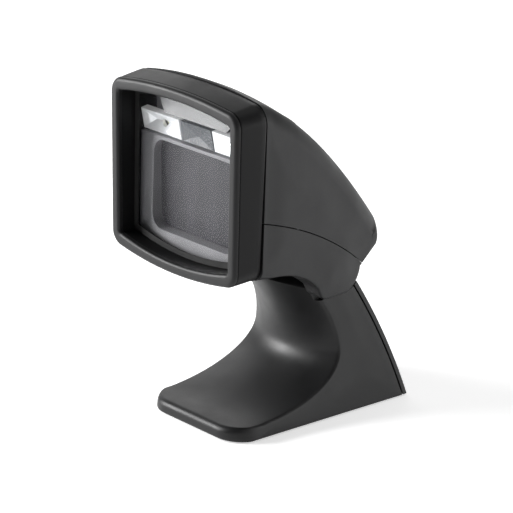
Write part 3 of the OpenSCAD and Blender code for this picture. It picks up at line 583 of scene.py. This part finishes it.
def layered(name, outline, side, bow=0.0, steps=ROUND_STEPS, core=CORE_STEPS):
    """A solid of rings from one side to the other, whose two sides bow out a little."""
    outline = np.asarray(outline, float)
    rings = [layer_ring(outline, side, ROUND_REACH * (i / steps) ** 2, 1) for i in range(steps + 1)]
    rings += [layer_ring(outline, side, ROUND_REACH, 1 - i / core) for i in range(1, core + 1)]
    rings += [r * (-1, 1, 1) for r in rings[-2::-1]]
    n, verts = len(outline), [np.vstack(rings)]
    faces = ring_faces(len(rings), n, False)
    grid, out, triangles = cap(rings[0][:, 1:], bow)
    x = half_width(side, grid[:, 0], grid[:, 1]) + out
    for sign, ring in ((1, 0), (-1, len(rings) - 1)):
        start = sum(len(v) for v in verts)
        verts.append(np.column_stack([sign * x, grid]))
        place = {i: ring * n + i if i < n else start + i - n for i in range(n + len(grid))}
        faces += [[place[i] for i in t] for t in triangles]
    return new_object(name, np.vstack(verts), faces)


def prism(points, x_low, x_high):
    """An outline drawn in Y and Z, extruded along X."""
    n = len(points)
    verts = [[x, p[0], p[1]] for x in (x_low, x_high) for p in points]
    faces = [list(range(n)), list(range(2 * n - 1, n - 1, -1))]
    faces += [(i, (i + 1) % n, n + (i + 1) % n, n + i) for i in range(n)]
    return new_object("prism", verts, faces)


def block(low, high):
    """A box from its lowest to its highest corner."""
    face = [(low[1], low[2]), (high[1], low[2]), (high[1], high[2]), (low[1], high[2])]
    return prism(face, low[0], high[0])


BAR_SIDES = 96
TURNED_SIDES = 48


def bar_x(at, r, x_low, x_high):
    """A round bar along X at a point in Y and Z."""
    return prism(arc(at, r, 0, 360 - 360 / BAR_SIDES, BAR_SIDES - 1), x_low, x_high)


def bar_y(at, r, y_low, y_high):
    """A round bar along Y at a point in X and Z."""
    place = Matrix.Translation((at[0], y_high, at[1])) @ Matrix.Rotation(math.pi / 2, 4, "X")
    return turned(place, [(r, 0), (r, y_high - y_low)])


def turned(place, profile):
    """A closed solid of [radius, height] points turned round the local Z of a placing matrix."""
    n = TURNED_SIDES
    angles = np.radians(np.arange(n) * 360 / n)
    rings = [np.column_stack([r * np.cos(angles), r * np.sin(angles), np.full(n, h)]) for r, h in profile]
    faces = ring_faces(len(rings), n, False)
    last = (len(rings) - 1) * n
    faces += [list(range(n)), list(range(last, last + n))]
    made = new_object("turned", np.vstack(rings), faces)
    made.data.transform(place)
    outward(made)
    return made


def cut(obj, cutters, operation="DIFFERENCE"):
    """Cuts solids from obj, or keeps or joins them, and removes the cutters."""
    for cutter in cutters:
        mod = obj.modifiers.new("cut", "BOOLEAN")
        mod.operation = operation
        mod.solver = "MANIFOLD"
        mod.object = cutter
    graph = bpy.context.evaluated_depsgraph_get()
    made = bpy.data.meshes.new_from_object(obj.evaluated_get(graph))
    obj.modifiers.clear()
    obj.data = made
    for cutter in cutters:
        bpy.data.objects.remove(cutter)
    return obj


def finished(obj, name, body, slot, *nodes, smooth=32):
    """Names a piece, scales it to metres, shades it, and hands it to its body in place of its CAD nodes."""
    obj.name = name
    obj.data.name = name
    obj.data.transform(Matrix.Scale(MM, 4))
    obj.data.shade_smooth()
    obj.data.set_sharp_from_angle(angle=math.radians(smooth))
    obj.data.materials.clear()
    obj.data.materials.append(MATERIALS[slot])
    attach(obj, body)
    if nodes:
        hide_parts(*nodes)
    return obj


# ---------- Hood ----------
RIM_OUTER_R = 1.7
RIM_INNER_R = 1.3
GROOVE = 0.35


def quarter(centre, r, start):
    """A quarter turn of a rounded edge's section."""
    return [tuple(p) for p in arc(centre, r, start, start + 90, 8)]


def make_front_rim():
    inner = quarter((-HOOD_WALL + RIM_INNER_R, RIM_INNER_R), RIM_INNER_R, 180)
    outer = quarter((-RIM_OUTER_R, RIM_OUTER_R), RIM_OUTER_R, 270)
    groove = [(0, RIM_DEPTH - GROOVE), (-GROOVE, RIM_DEPTH), (-HOOD_WALL, RIM_DEPTH)]
    rim = hoop("rim", hood_rings(inner + outer + groove))
    finished(rim, "hood_front_rim", "head", "rim_plastic", "front_rim")


def make_hood_shell():
    back = HOOD_DEPTH
    section = [(-HOOD_WALL, RIM_DEPTH), (-GROOVE, RIM_DEPTH), (0, RIM_DEPTH + GROOVE)]
    section += [(HOOD_FLARE * t, RIM_DEPTH + (back - RIM_DEPTH) * t) for t in (0.25, 0.5, 0.75)]
    section += [(HOOD_FLARE - 0.2, back - 1.0), (HOOD_FLARE - 0.45, back - 0.45), (HOOD_FLARE - 1.1, back)]
    section += [(-HOOD_WALL, back)]
    hood = hoop("hood", hood_rings(section))
    finished(hood, "hood_side_shell", "head", "hood_plastic", "hood_shell")


# ---------- Head housings ----------
SIDE_TOE_IN = 15
TOP_CROWN = 5.0
SHOULDER_R = 7.0
HOUSING_WALL = 2.0
LIP_R = 0.9
PARTING_GAP = 0.42
PIVOT = np.array(tilt_joint["pos_m"][1:]) / MM
TAIL = np.array([39.8, 70.5])
TAIL_R = 6.0
TAIL_ANGLE = 39
EAR_R = 11.0
EAR_FRONT = np.array([7.5, 58.0])
EAR_FRONT_R = 6.0
HEAD_FRONT_Y = FACE_Y + HOOD_DEPTH
HEAD_HALF_W = FACE_W_TOP / 2 + HOOD_FLARE - 0.4
HEAD_SIDE = [HEAD_HALF_W + HEAD_FRONT_Y * tan_deg(SIDE_TOE_IN), tan_deg(SIDE_TOE_IN), 0, 2]
TOP_FROM = np.array([HEAD_FRONT_Y + 1.75, FACE_TOP + HOOD_FLARE - 0.4])
TOP_CTRL = np.array([3.5, 125])
TOP_TO = TAIL + TAIL_R * np.array([math.cos(math.radians(TAIL_ANGLE)), math.sin(math.radians(TAIL_ANGLE))])
LOW_FROM = np.array([HEAD_FRONT_Y - 1.35, FACE_BOTTOM + HOOD_FLARE * LOW_TUCK])
CROWN_FRONT = ARCH_TOP + 1


def entries(points, r, crown):
    """Outline entries for points that run clockwise: r and crown are (first, last) values along them."""
    points = np.asarray(points, float)
    v = np.gradient(points, axis=0)
    n = np.column_stack([v[:, 1], -v[:, 0]]) / np.linalg.norm(v, axis=1)[:, None]
    t = np.linspace(0, 1, len(points))
    c = (crown[0] + (crown[1] - crown[0]) * t)[:, None]
    return np.column_stack([points, r[0] + (r[1] - r[0]) * t, n, -n * c, np.zeros(len(points))])


def blended_front(rows, share, rounding, inward_z, bulge_y):
    """Turns the first rows, a share of them, towards an upright front: their rounding and directions."""
    ahead = np.clip(1 - np.linspace(0, 1, len(rows)) / share, 0, 1)[:, None]
    bulge = math.hypot(*rows[0, 5:7])
    aim = np.array([rounding, 0, inward_z, bulge_y, -inward_z * bulge])
    rows = rows.copy()
    rows[:, 2:7] += (aim - rows[:, 2:7]) * ahead
    return rows


def head_outline(n):
    """The head from the side, n points to a long curve; its front ends keep to the hood's back plane."""
    t = np.linspace(0, 1, n)
    top = entries(bend(TOP_FROM, TOP_CTRL, TOP_TO, t), (SHOULDER_R, SHOULDER_R), (CROWN_FRONT, TOP_CROWN))
    top = blended_front(top, 1 / 12, CORNER_R, -1, CROWN_FRONT * tan_deg(BACK_LEAN))
    tail = entries(arc(TAIL, TAIL_R, TAIL_ANGLE, -60, n // 2), (SHOULDER_R, LIP_R), (TOP_CROWN, 0))[1:]
    tail[:, 5:7] *= np.linspace(1, 0, len(tail))[:, None] ** 0.4
    ears = np.vstack([arc(PIVOT, EAR_R, -12, -90, n // 2), arc(EAR_FRONT, EAR_FRONT_R, -105, -150, n // 4)])
    ears = entries(ears, (LIP_R, LIP_R), (0, 0))
    low = entries(bend((0.5, 58.4), (-12, 71.3), LOW_FROM, t), (LIP_R, LIP_R), (0, ARCH_BOTTOM))
    low = blended_front(low[::-1], 1 / 7, CORNER_R * 0.7, 1, 0)[::-1]
    return np.vstack([top, tail, ears, low])


def inset_outline(outline, g):
    """An outline moved inwards by g, with its front ends carried forward so that the hollow opens there."""
    moved = outline.copy()
    moved[:, :2] += g * outline[:, 3:5]
    moved[[0, -1], 0] -= 4
    moved[:, 2] = np.maximum(outline[:, 2] - g, 0.01)
    return moved


PART_FROM = np.array([HEAD_FRONT_Y - 1, 97.3])
PART_CTRL = np.array([2, 84.5])
PART_TO = np.array([33.2, 59.5])


def part_line(shift):
    """The line between the head's two housings, moved up by shift and run on past both ends."""
    ahead = PART_FROM + (-3, 1 + shift)
    behind = PART_TO + (1.5, -2.5 + shift)
    curve = bend(PART_FROM, PART_CTRL, PART_TO, np.linspace(0, 1, 40)) + (0, shift)
    return np.vstack([ahead, curve, behind])


def below_parting(shift):
    line = part_line(shift)
    return prism(np.vstack([line, (line[-1][0], 30), (line[0][0], 30)]), -50, 50)


def above_parting(shift):
    line = part_line(shift)
    return prism(np.vstack([line, (70, 40), (70, 160), (line[0][0], 160)]), -50, 50)


EAR_GAP = 0.5
KNUCKLE_HALF_W = 20.4
BAY_TOP = 64.6
BAY_FRONT = -10.0
BAY_R = 12.2


def bay(grow):
    """The space of the knuckle and the neck between the ears."""
    w = KNUCKLE_HALF_W + EAR_GAP + grow
    y, z = PIVOT
    front, top = BAY_FRONT - grow, BAY_TOP + grow
    shape = prism([(front, 30), (front, top), (y, top), (y, 30)], -w, w)
    rear = [(y - 1, 30), (y - 1, z), (36 - grow, 60.5 + grow), (50, 60), (50, 30)]
    return cut(shape, [bar_x(PIVOT, BAY_R + grow, -w, w), prism(rear, -w, w)], "UNION")


SCREW_AT = [(32.5, -24, 77.5), (29, -11, 71)]
SCREW_R = 1.5
SCREW_HEAD_R = 2.8
SCREW_L = 20
BOSS_R = 3.4


def both_sides(points):
    """Each point and its mirror image across the middle."""
    return [(sign * x, y, z) for x, y, z in points for sign in (1, -1)]


def rod_z(at, r, low, high):
    """A round rod along Z, from low to high above a point."""
    return turned(Matrix.Translation(at), [(r, low), (r, high)])


def head_hollow():
    """The room inside the head: its outline less the wall, the bay, the ears and the screw bosses."""
    wall = HOUSING_WALL / math.cos(math.radians(SIDE_TOE_IN))
    side = [HEAD_SIDE[0] - wall, *HEAD_SIDE[1:]]
    hollow = layered("hollow", inset_outline(head_outline(16), HOUSING_WALL), side, steps=8, core=4)
    start = KNUCKLE_HALF_W + EAR_GAP - HOUSING_WALL
    ear = [(-3, 30), (-3, 60), (4, 71), (26, 71), (40, 62), (40, 30)]
    cutters = [bay(HOUSING_WALL), prism(ear, start, start + 60), prism(ear, -start - 60, -start)]
    cutters += [rod_z(at, BOSS_R, -12, SCREW_L + 4) for at in both_sides(SCREW_AT)]
    return cut(hollow, cutters)


BUTTON_L = 15.0
BUTTON_W = 20.0
BUTTON_T = 0.47
BUTTON_SLOPE = math.radians(39.4)
BUTTON_PROUD = 1.3
INDICATOR_AHEAD = 12.5
INDICATOR_R = 1.5
JACK_AT = (0, 37.6, 64)
JACK_BOX = ((-6.5, -4, -9), (6.5, 4, 8.6))


def button_place():
    """The button's frame: +Z out of the top surface and +Y down its slope."""
    crown = CROWN_FRONT + (TOP_CROWN - CROWN_FRONT) * BUTTON_T - 0.1
    at = bend(TOP_FROM, TOP_CTRL, TOP_TO, BUTTON_T)
    at = at + crown * np.array([math.sin(BUTTON_SLOPE), math.cos(BUTTON_SLOPE)])
    return Matrix.Translation((0, *at)) @ Matrix.Rotation(-BUTTON_SLOPE, 4, "X")


def stadium(l, w, inset, n=28):
    """Outline of a button l long and w wide, set in all round."""
    r, c = l / 2 - inset, (w - l) / 2
    right = arc((c, 0), r, -90, 90, n)
    return np.vstack([right, -right])


def button_solid(profile):
    """A solid of the button's outline: the profile is [inset, height] points, closed by flat ends."""
    rings = [np.column_stack([s, np.full(len(s), h)]) for inset, h in profile
             for s in [stadium(BUTTON_L, BUTTON_W, inset)]]
    n, last = len(rings[0]), (len(rings) - 1) * len(rings[0])
    faces = ring_faces(len(rings), n, False) + [list(range(n)), list(range(last, last + n))]
    made = new_object("button", np.vstack(rings), faces)
    made.data.transform(button_place())
    outward(made)
    return made


def make_upper_housing():
    shell = layered("upper", head_outline(48), HEAD_SIDE, bow=0.7)
    lamp = turned(button_place() @ Matrix.Translation((0, -INDICATOR_AHEAD, 0)),
                  [(INDICATOR_R + 0.1, -8), (INDICATOR_R + 0.1, 4)])
    jack = block(np.add(JACK_AT, JACK_BOX[0]), np.add(JACK_AT, JACK_BOX[1]))
    well = button_solid([(-0.3, -8), (-0.3, -0.6), (-0.55, 0.1), (-0.9, 6)])
    screws = [rod_z(at, SCREW_R, 0, SCREW_L) for at in both_sides(SCREW_AT)]
    cut(shell, [head_hollow(), below_parting(PARTING_GAP / 2), bay(0), well, lamp, jack, *screws])
    finished(shell, "head_upper_shell", "head", "housing_plastic", "upper_housing")


def make_lower_housing():
    shell = layered("lower", head_outline(48), HEAD_SIDE, bow=0.7)
    screws = []
    for at in both_sides(SCREW_AT):
        screws += [rod_z(at, SCREW_R, -1, SCREW_L), rod_z(at, SCREW_HEAD_R, -30, 0)]
    low, high = node_box("ear_bush_right")
    bush_r = (high[2] - low[2]) / 2
    bushes = [bar_x(PIVOT, bush_r, low[0] - 1, high[0]), bar_x(PIVOT, bush_r, -high[0], 1 - low[0])]
    cut(shell, [head_hollow(), above_parting(-PARTING_GAP / 2), bay(0), *screws, *bushes])
    finished(shell, "head_lower_shell", "head", "housing_plastic", "lower_housing")


def make_trigger_button():
    top = BUTTON_PROUD
    edge = [(1.1 - 1.1 * math.cos(math.radians(a)), top - 1.1 + 1.1 * math.sin(math.radians(a)))
            for a in range(0, 91, 10)]
    dish = [(inset, top - 0.35 * ((inset - 1.1) / 6.0) ** 1.5) for inset in (2, 3, 4, 5, 6, 6.9)]
    button = button_solid([(0, -1.6), *edge, *dish])
    hollow = button_solid([(1.5, -2.6), (1.5, -0.4)])
    cut(button, [hollow])
    finished(button, "trigger_button_cap", "trigger", "button_plastic", "trigger_button")


# ---------- Stand ----------
STAND_FLARE = 1.7
STAND_LEAN = 9.4
STAND_SIDE = [30.6, -tan_deg(STAND_FLARE), tan_deg(STAND_LEAN), 2]
FOOT_H = 6.4
FOOT_FRONT = -42.6
FOOT_LOW = 0.5
FOOT_TOP_FROM = -33.0
HEEL_FROM = np.array([49.5, 0.6])
HEEL_CTRL = np.array([42.3, 28.6])
HEEL_TO = np.array([28.3, 53.8])
KNUCKLE_R = 9.5
NECK = np.array([15.6, 27.5])
NECK_BOW = 0.0145
NECK_BULGE = 8.0
RIM_REACH = 5.0
SWEEP_SWELL = 8.0
RIM_Z = 54.5
COVER_T = 1.8
COVER_GAP = 0.5
EAR_CLEARANCE = 0.5


def heel(t, inset):
    """The heel's back curve, moved inwards and kept off the ground, and its outward normals."""
    t = np.asarray(t)
    v = 2 * (1 - t)[:, None] * (HEEL_CTRL - HEEL_FROM) + 2 * t[:, None] * (HEEL_TO - HEEL_CTRL)
    n = np.column_stack([v[:, 1], -v[:, 0]]) / np.linalg.norm(v, axis=1)[:, None]
    p = bend(HEEL_FROM, HEEL_CTRL, HEEL_TO, t) - inset * n
    p[:, 1] = np.maximum(p[:, 1], FOOT_LOW)
    return p, n


def neck_entry(z):
    """Outline entry of the neck's hollow front at a height."""
    h = z - NECK[1]
    t = h / (RIM_Z - NECK[1])
    return [NECK[0] - NECK_BOW * h * h, z, LIP_R, 1, 0, -NECK_BULGE - RIM_REACH * t * t, 4 * t * t]


def sweep_entry(a):
    """Outline entry of the quarter sweep from the foot's top (0 degrees) up to the neck (90)."""
    rx, rz, t = NECK[0] - FOOT_TOP_FROM, NECK[1] - FOOT_H, a / 90
    s, c = math.sin(math.radians(a)), math.cos(math.radians(a))
    return [FOOT_TOP_FROM + rx * s, NECK[1] - rz * c, LIP_R, s, -c,
            -NECK_BULGE * s, SWEEP_SWELL * (2 * t * (1 - t)) ** 2]


FOOT_EDGE_R = 2.6
FOOT_UNDER_R = 1.4
PLAN_REACH = 17.5


def stand_outline():
    """The stand from the side, clockwise from the underside of the foot's front."""
    front = FOOT_FRONT
    foot = np.vstack([arc((front + FOOT_UNDER_R, FOOT_LOW + FOOT_UNDER_R), FOOT_UNDER_R, 270, 180, 6),
                      arc((front + FOOT_EDGE_R, FOOT_H - FOOT_EDGE_R), FOOT_EDGE_R, 180, 90, 10),
                      [(y, FOOT_H) for y in np.linspace(front + FOOT_EDGE_R + 1, FOOT_TOP_FROM - 1, 10)]])
    rows = entries(foot, (LIP_R, LIP_R), (0, 0))[:, :7].tolist()
    rows += [sweep_entry(a) for a in np.linspace(0, 90, 40)]
    rows += [neck_entry(z) for z in np.linspace(NECK[1], RIM_Z, 28)[1:]]
    rows += [[5.5, RIM_Z + 0.9, LIP_R, 0.8, -0.6, 1 - NECK_BULGE - RIM_REACH, 3.8],
             [7.4, RIM_Z + 2.6, LIP_R, 0.6, -0.8, 2 - NECK_BULGE, 3],
             [9.6, RIM_Z + 4.9, 0.01, 0, 0, -1, 0.5]]
    rows += [[*p, 0.01, 0, 0, 0, 0] for p in arc(PIVOT, KNUCKLE_R, 170, -35, 40)]
    rows += [[*p, 0.5, -1, 0, 0, 0] for p in heel(np.linspace(1, 0, 30), COVER_T + COVER_GAP)[0]]
    plan = [max(0, 1 - (row[0] - front) / PLAN_REACH) for row in rows]
    return np.column_stack([rows, plan])


def ear_recess():
    """The space that the head's ears sweep beside the stand, over the whole tilt."""
    arm = EAR_FRONT - PIVOT
    low, high = tilt_joint["range_deg"]
    spots = [(PIVOT, EAR_R)]
    for a in np.radians(np.arange(low, high + 1, 5)):
        s, c = math.sin(a), math.cos(a)
        turn = np.array([arm[0] * c + arm[1] * s, arm[1] * c - arm[0] * s])
        for share in (0.33, 0.67, 1):
            spots.append((PIVOT + share * turn, EAR_R + (EAR_FRONT_R - EAR_R) * share))
    return [bar_x(at, r + EAR_CLEARANCE, x, x + 20) for at, r in spots
            for x in (KNUCKLE_HALF_W, -KNUCKLE_HALF_W - 20)]


COVER_SCREW_X = 19.6
COVER_SCREW_R = 1.1
COVER_HEAD_R = 2.1
BASE_SCREW_R = 1.5
BASE_HEAD_R = 2.5
BASE_SEAT = 0.65
BASE_SCREWS = [(15.5, -29, 0), (15.5, 38, 0)]
FOOT_ROOF_T = 1.8
PLATE_GAP = 0.2


def cover_screw_places():
    """Placing matrices of the rear cover's four screws: +Z points out of the cover."""
    found = []
    points, normals = heel(np.array([0.25, 0.75]), 0)
    for p, n in zip(points, normals):
        tilt = math.atan2(-n[0], n[1])
        found += [Matrix.Translation((x, *p)) @ Matrix.Rotation(tilt, 4, "X")
                  for x in (COVER_SCREW_X, -COVER_SCREW_X)]
    return found


def make_stand_body():
    stand = layered("stand", stand_outline(), STAND_SIDE, bow=0.4)
    low, high = node_box("friction_sleeve_right")
    sleeve_r = (high[2] - low[2]) / 2
    plate_low, plate_high = node_box("base_plate")
    roof = FOOT_H - FOOT_ROOF_T
    pocket = block((*(plate_low[:2] - PLATE_GAP), -1), (*(plate_high[:2] + PLATE_GAP), roof))
    trunk = prism([(25, roof - 1), (60, roof - 1), (60, 46), (24, 46), (21.5, 36), (22, 26)], -17, 17)
    screws = [rod_z(at, BASE_SCREW_R, 0, FOOT_H - 1) for at in both_sides(BASE_SCREWS)]
    screws += [turned(m, [(COVER_SCREW_R, -7), (COVER_SCREW_R, 1)]) for m in cover_screw_places()]
    cut(stand, [*ear_recess(), bar_x(PIVOT, sleeve_r, -40, 40), pocket, trunk, *screws])
    finished(stand, "stand_shell", "stand", "stand_plastic", "stand_body")


def make_rear_cover():
    outside, _ = heel(np.linspace(0, 1, 40), 0)
    within, _ = heel(np.linspace(1, 0, 40), COVER_T)
    cover = prism(np.vstack([outside, within]), -40, 40)
    lean, flare = math.radians(STAND_LEAN), math.radians(STAND_FLARE)
    for sign in (1, -1):
        side = block((0, -100, -20), (50, 100, 120))
        place = Matrix.Translation((STAND_SIDE[0], 0, 0)) @ Matrix.Rotation(-lean, 4, "Y")
        side.data.transform(place @ Matrix.Rotation(-flare, 4, "Z"))
        if sign < 0:
            side.data.transform(Matrix.Scale(-1, 4, (1, 0, 0)))
        outward(side)
        cut(cover, [side])
    screws = []
    for m in cover_screw_places():
        screws.append(turned(m, [(COVER_SCREW_R, -4), (COVER_SCREW_R, 2)]))
        screws.append(turned(m, [(COVER_HEAD_R, -1), (COVER_HEAD_R, 5)]))
    cut(cover, [*ear_recess(), *screws])
    finished(cover, "stand_rear_cover", "stand", "cover_plastic", "rear_cover")


# ---------- Small pieces ----------
def merged(pieces):
    """Joins separate solids into the first one's object."""
    bm = bmesh.new()
    for piece in pieces:
        bm.from_mesh(piece.data)
    bm.to_mesh(pieces[0].data)
    bm.free()
    for piece in pieces[1:]:
        bpy.data.objects.remove(piece)
    return pieces[0]


def cross_screw(place, shank_r, shank_l, head_r, head_h):
    """A pan-head screw with a cross recess: its head sits on the place's origin, with its top to +Z."""
    dome = [(1, 0.45), (0.92, 0.75), (0.72, 0.93), (0.45, 1)]
    screw = turned(place, [(shank_r, -shank_l), (shank_r, 0), (head_r, 0),
                           *[(head_r * r, head_h * h) for r, h in dome]])
    slots = []
    for across, along in ((0.16, 0.62), (0.62, 0.16)):
        slot = block((-head_r * across, -head_r * along, head_h * 0.35),
                     (head_r * across, head_r * along, head_h * 2))
        slot.data.transform(place)
        outward(slot)
        slots.append(slot)
    return cut(screw, slots)


def make_screws():
    cover = [cross_screw(m @ Matrix.Translation((0, 0, -1)), COVER_SCREW_R, 6, COVER_HEAD_R, 0.8)
             for m in cover_screw_places()]
    finished(merged(cover), "rear_cover_screws", "stand", "steel", "cover_screws")
    flip = Matrix.Rotation(math.pi, 4, "X")
    base = []
    for x, y, _ in both_sides(BASE_SCREWS):
        place = Matrix.Translation((x, y, FOOT_LOW + BASE_SEAT)) @ flip
        base.append(cross_screw(place, BASE_SCREW_R, FOOT_H - BASE_SEAT - 1 - FOOT_LOW, BASE_HEAD_R, 0.55))
    finished(merged(base), "base_plate_screws", "stand", "steel", "base_screws")
    housing = [cross_screw(Matrix.Translation(at) @ flip, SCREW_R, SCREW_L, SCREW_HEAD_R - 0.2, 1.6)
               for at in both_sides(SCREW_AT)]
    finished(merged(housing), "head_housing_screws", "head", "steel", "housing_screws")


def make_indicator():
    dome = [(INDICATOR_R, -2.6), (INDICATOR_R, 0.05), (1.36, 0.25), (1.05, 0.35), (0.55, 0.4)]
    lens = turned(button_place() @ Matrix.Translation((0, -INDICATOR_AHEAD, 0)), dome)
    finished(lens, "indicator_dome", "head", "indicator_clear", "indicator_lens")


def make_lamps():
    low, high = node_box("illumination_leds")
    r, length = (high[2] - low[2]) / 2, high[1] - low[1]
    lamps = []
    for x in (high[0] - r, low[0] + r):
        place = Matrix.Translation((x, high[1], low[2] + r)) @ Matrix.Rotation(math.pi / 2, 4, "X")
        dome = [(r * math.cos(a), length - r + r * math.sin(a)) for a in np.radians(range(0, 90, 15))]
        lamps.append(turned(place, [(r, 0), *dome]))
    finished(merged(lamps), "lamp_domes", "head", "led", "illumination_leds")


# ---------- Reflectors and prism ----------
OPTICS_LEAN = 10
REFLECTOR_T = 3.3
REFLECTOR_LIP = 0.8
REFLECTOR_DEEP = 2.5
LAMP_GAP = 0.2
PRISM_DEEP = 1.2
PRISM_T = 4.6


def optics_place():
    """The frame of the reflectors and the prism, from their lower front edge, and their height."""
    low, high = node_box("reflector_right")
    lean = math.radians(OPTICS_LEAN)
    at = (0, high[1] - REFLECTOR_T * math.cos(lean), low[2])
    height = (high[2] - low[2] - REFLECTOR_T * math.sin(lean)) / math.cos(lean)
    return Matrix.Translation(at) @ Matrix.Rotation(lean, 4, "X"), height


def faceted(front, inner, facets, back_y):
    """A solid with a flat front rim, facets that join inner points, and a flat back."""
    n = len(front)
    back = [(x, back_y, z) for x, _, z in front]
    faces = [(i, (i + 1) % n, n + (i + 1) % n, n + i) for i in range(n)] + [list(range(n, 2 * n))]
    faces += [[i if i < n else i + n for i in facet] for facet in facets]
    return new_object("faceted", [*front, *back, *inner], faces)


def make_reflectors():
    place, h = optics_place()
    low, high = node_box("reflector_right")
    near, far, lip = low[0], high[0], REFLECTOR_LIP
    lamp_low, lamp_high = node_box("illumination_leds")
    lamp_z = (lamp_low[2] + lamp_high[2]) / 2
    lamp_r = (lamp_high[2] - lamp_low[2]) / 2 + LAMP_GAP
    lamp_x = lamp_high[0] - lamp_r + LAMP_GAP
    for sign, side in ((1, "right"), (-1, "left")):
        rim = [(sign * x, 0, z) for x, z in ((near, 0), (far, 0), (far, h), (near, h))]
        lips = [(sign * x, 0.1, z) for x, z in ((near + lip, lip), (far - lip, lip), (far - lip, h - lip),
                                                (near + lip, h - lip))]
        deep = [(sign * x, REFLECTOR_DEEP, h * 0.5) for x in (near + 6.5, far - 6.5)]
        ledge = [(0, 1, 5, 4), (1, 2, 6, 5), (2, 3, 7, 6), (3, 0, 4, 7)]
        bowl = [(4, 5, 9), (4, 9, 8), (5, 6, 9), (6, 7, 8), (6, 8, 9), (7, 4, 8)]
        cup = faceted(rim, lips + deep, ledge + bowl, REFLECTOR_T)
        cup.data.transform(place)
        outward(cup)
        cut(cup, [bar_y((sign * lamp_x, lamp_z), lamp_r, low[1] - 1, high[1] + 1)])
        name = "reflector_cup_" + side
        finished(cup, name, "head", "reflector_white", "reflector_" + side, smooth=5)


def make_prism():
    place, h = optics_place()
    low, high = node_box("centre_prism")
    wide, narrow = high[0], high[0] - 0.7
    front = [(-wide, 0, 0), (wide * 0.45, 0, 0), (wide, 0, 0),
             (narrow, 0, h), (wide * 0.1, 0, h), (-narrow, 0, h)]
    facets = [(i, (i + 1) % 6, 6) for i in range(6)]
    prism_block = faceted(front, [(-0.5, PRISM_DEEP, h * 0.4)], facets, PRISM_T)
    prism_block.data.transform(place)
    outward(prism_block)
    finished(prism_block, "light_prism", "head", "prism_grey", "centre_prism", smooth=5)


# ---------- Run ----------
make_camera()
make_lights()
make_floor()
MATERIALS = make_materials()
# The CAD nodes that stay in sight take the finish that the record names for them.
for row in frame["record"]["subparts"]:
    mesh = frame["nodes"][row["node"]].data
    mesh.materials.clear()
    mesh.materials.append(MATERIALS[row["material_slot"]])
make_front_rim()
make_hood_shell()
make_upper_housing()
make_lower_housing()
make_trigger_button()
make_stand_body()
make_rear_cover()
make_screws()
make_indicator()
make_lamps()
make_reflectors()
make_prism()
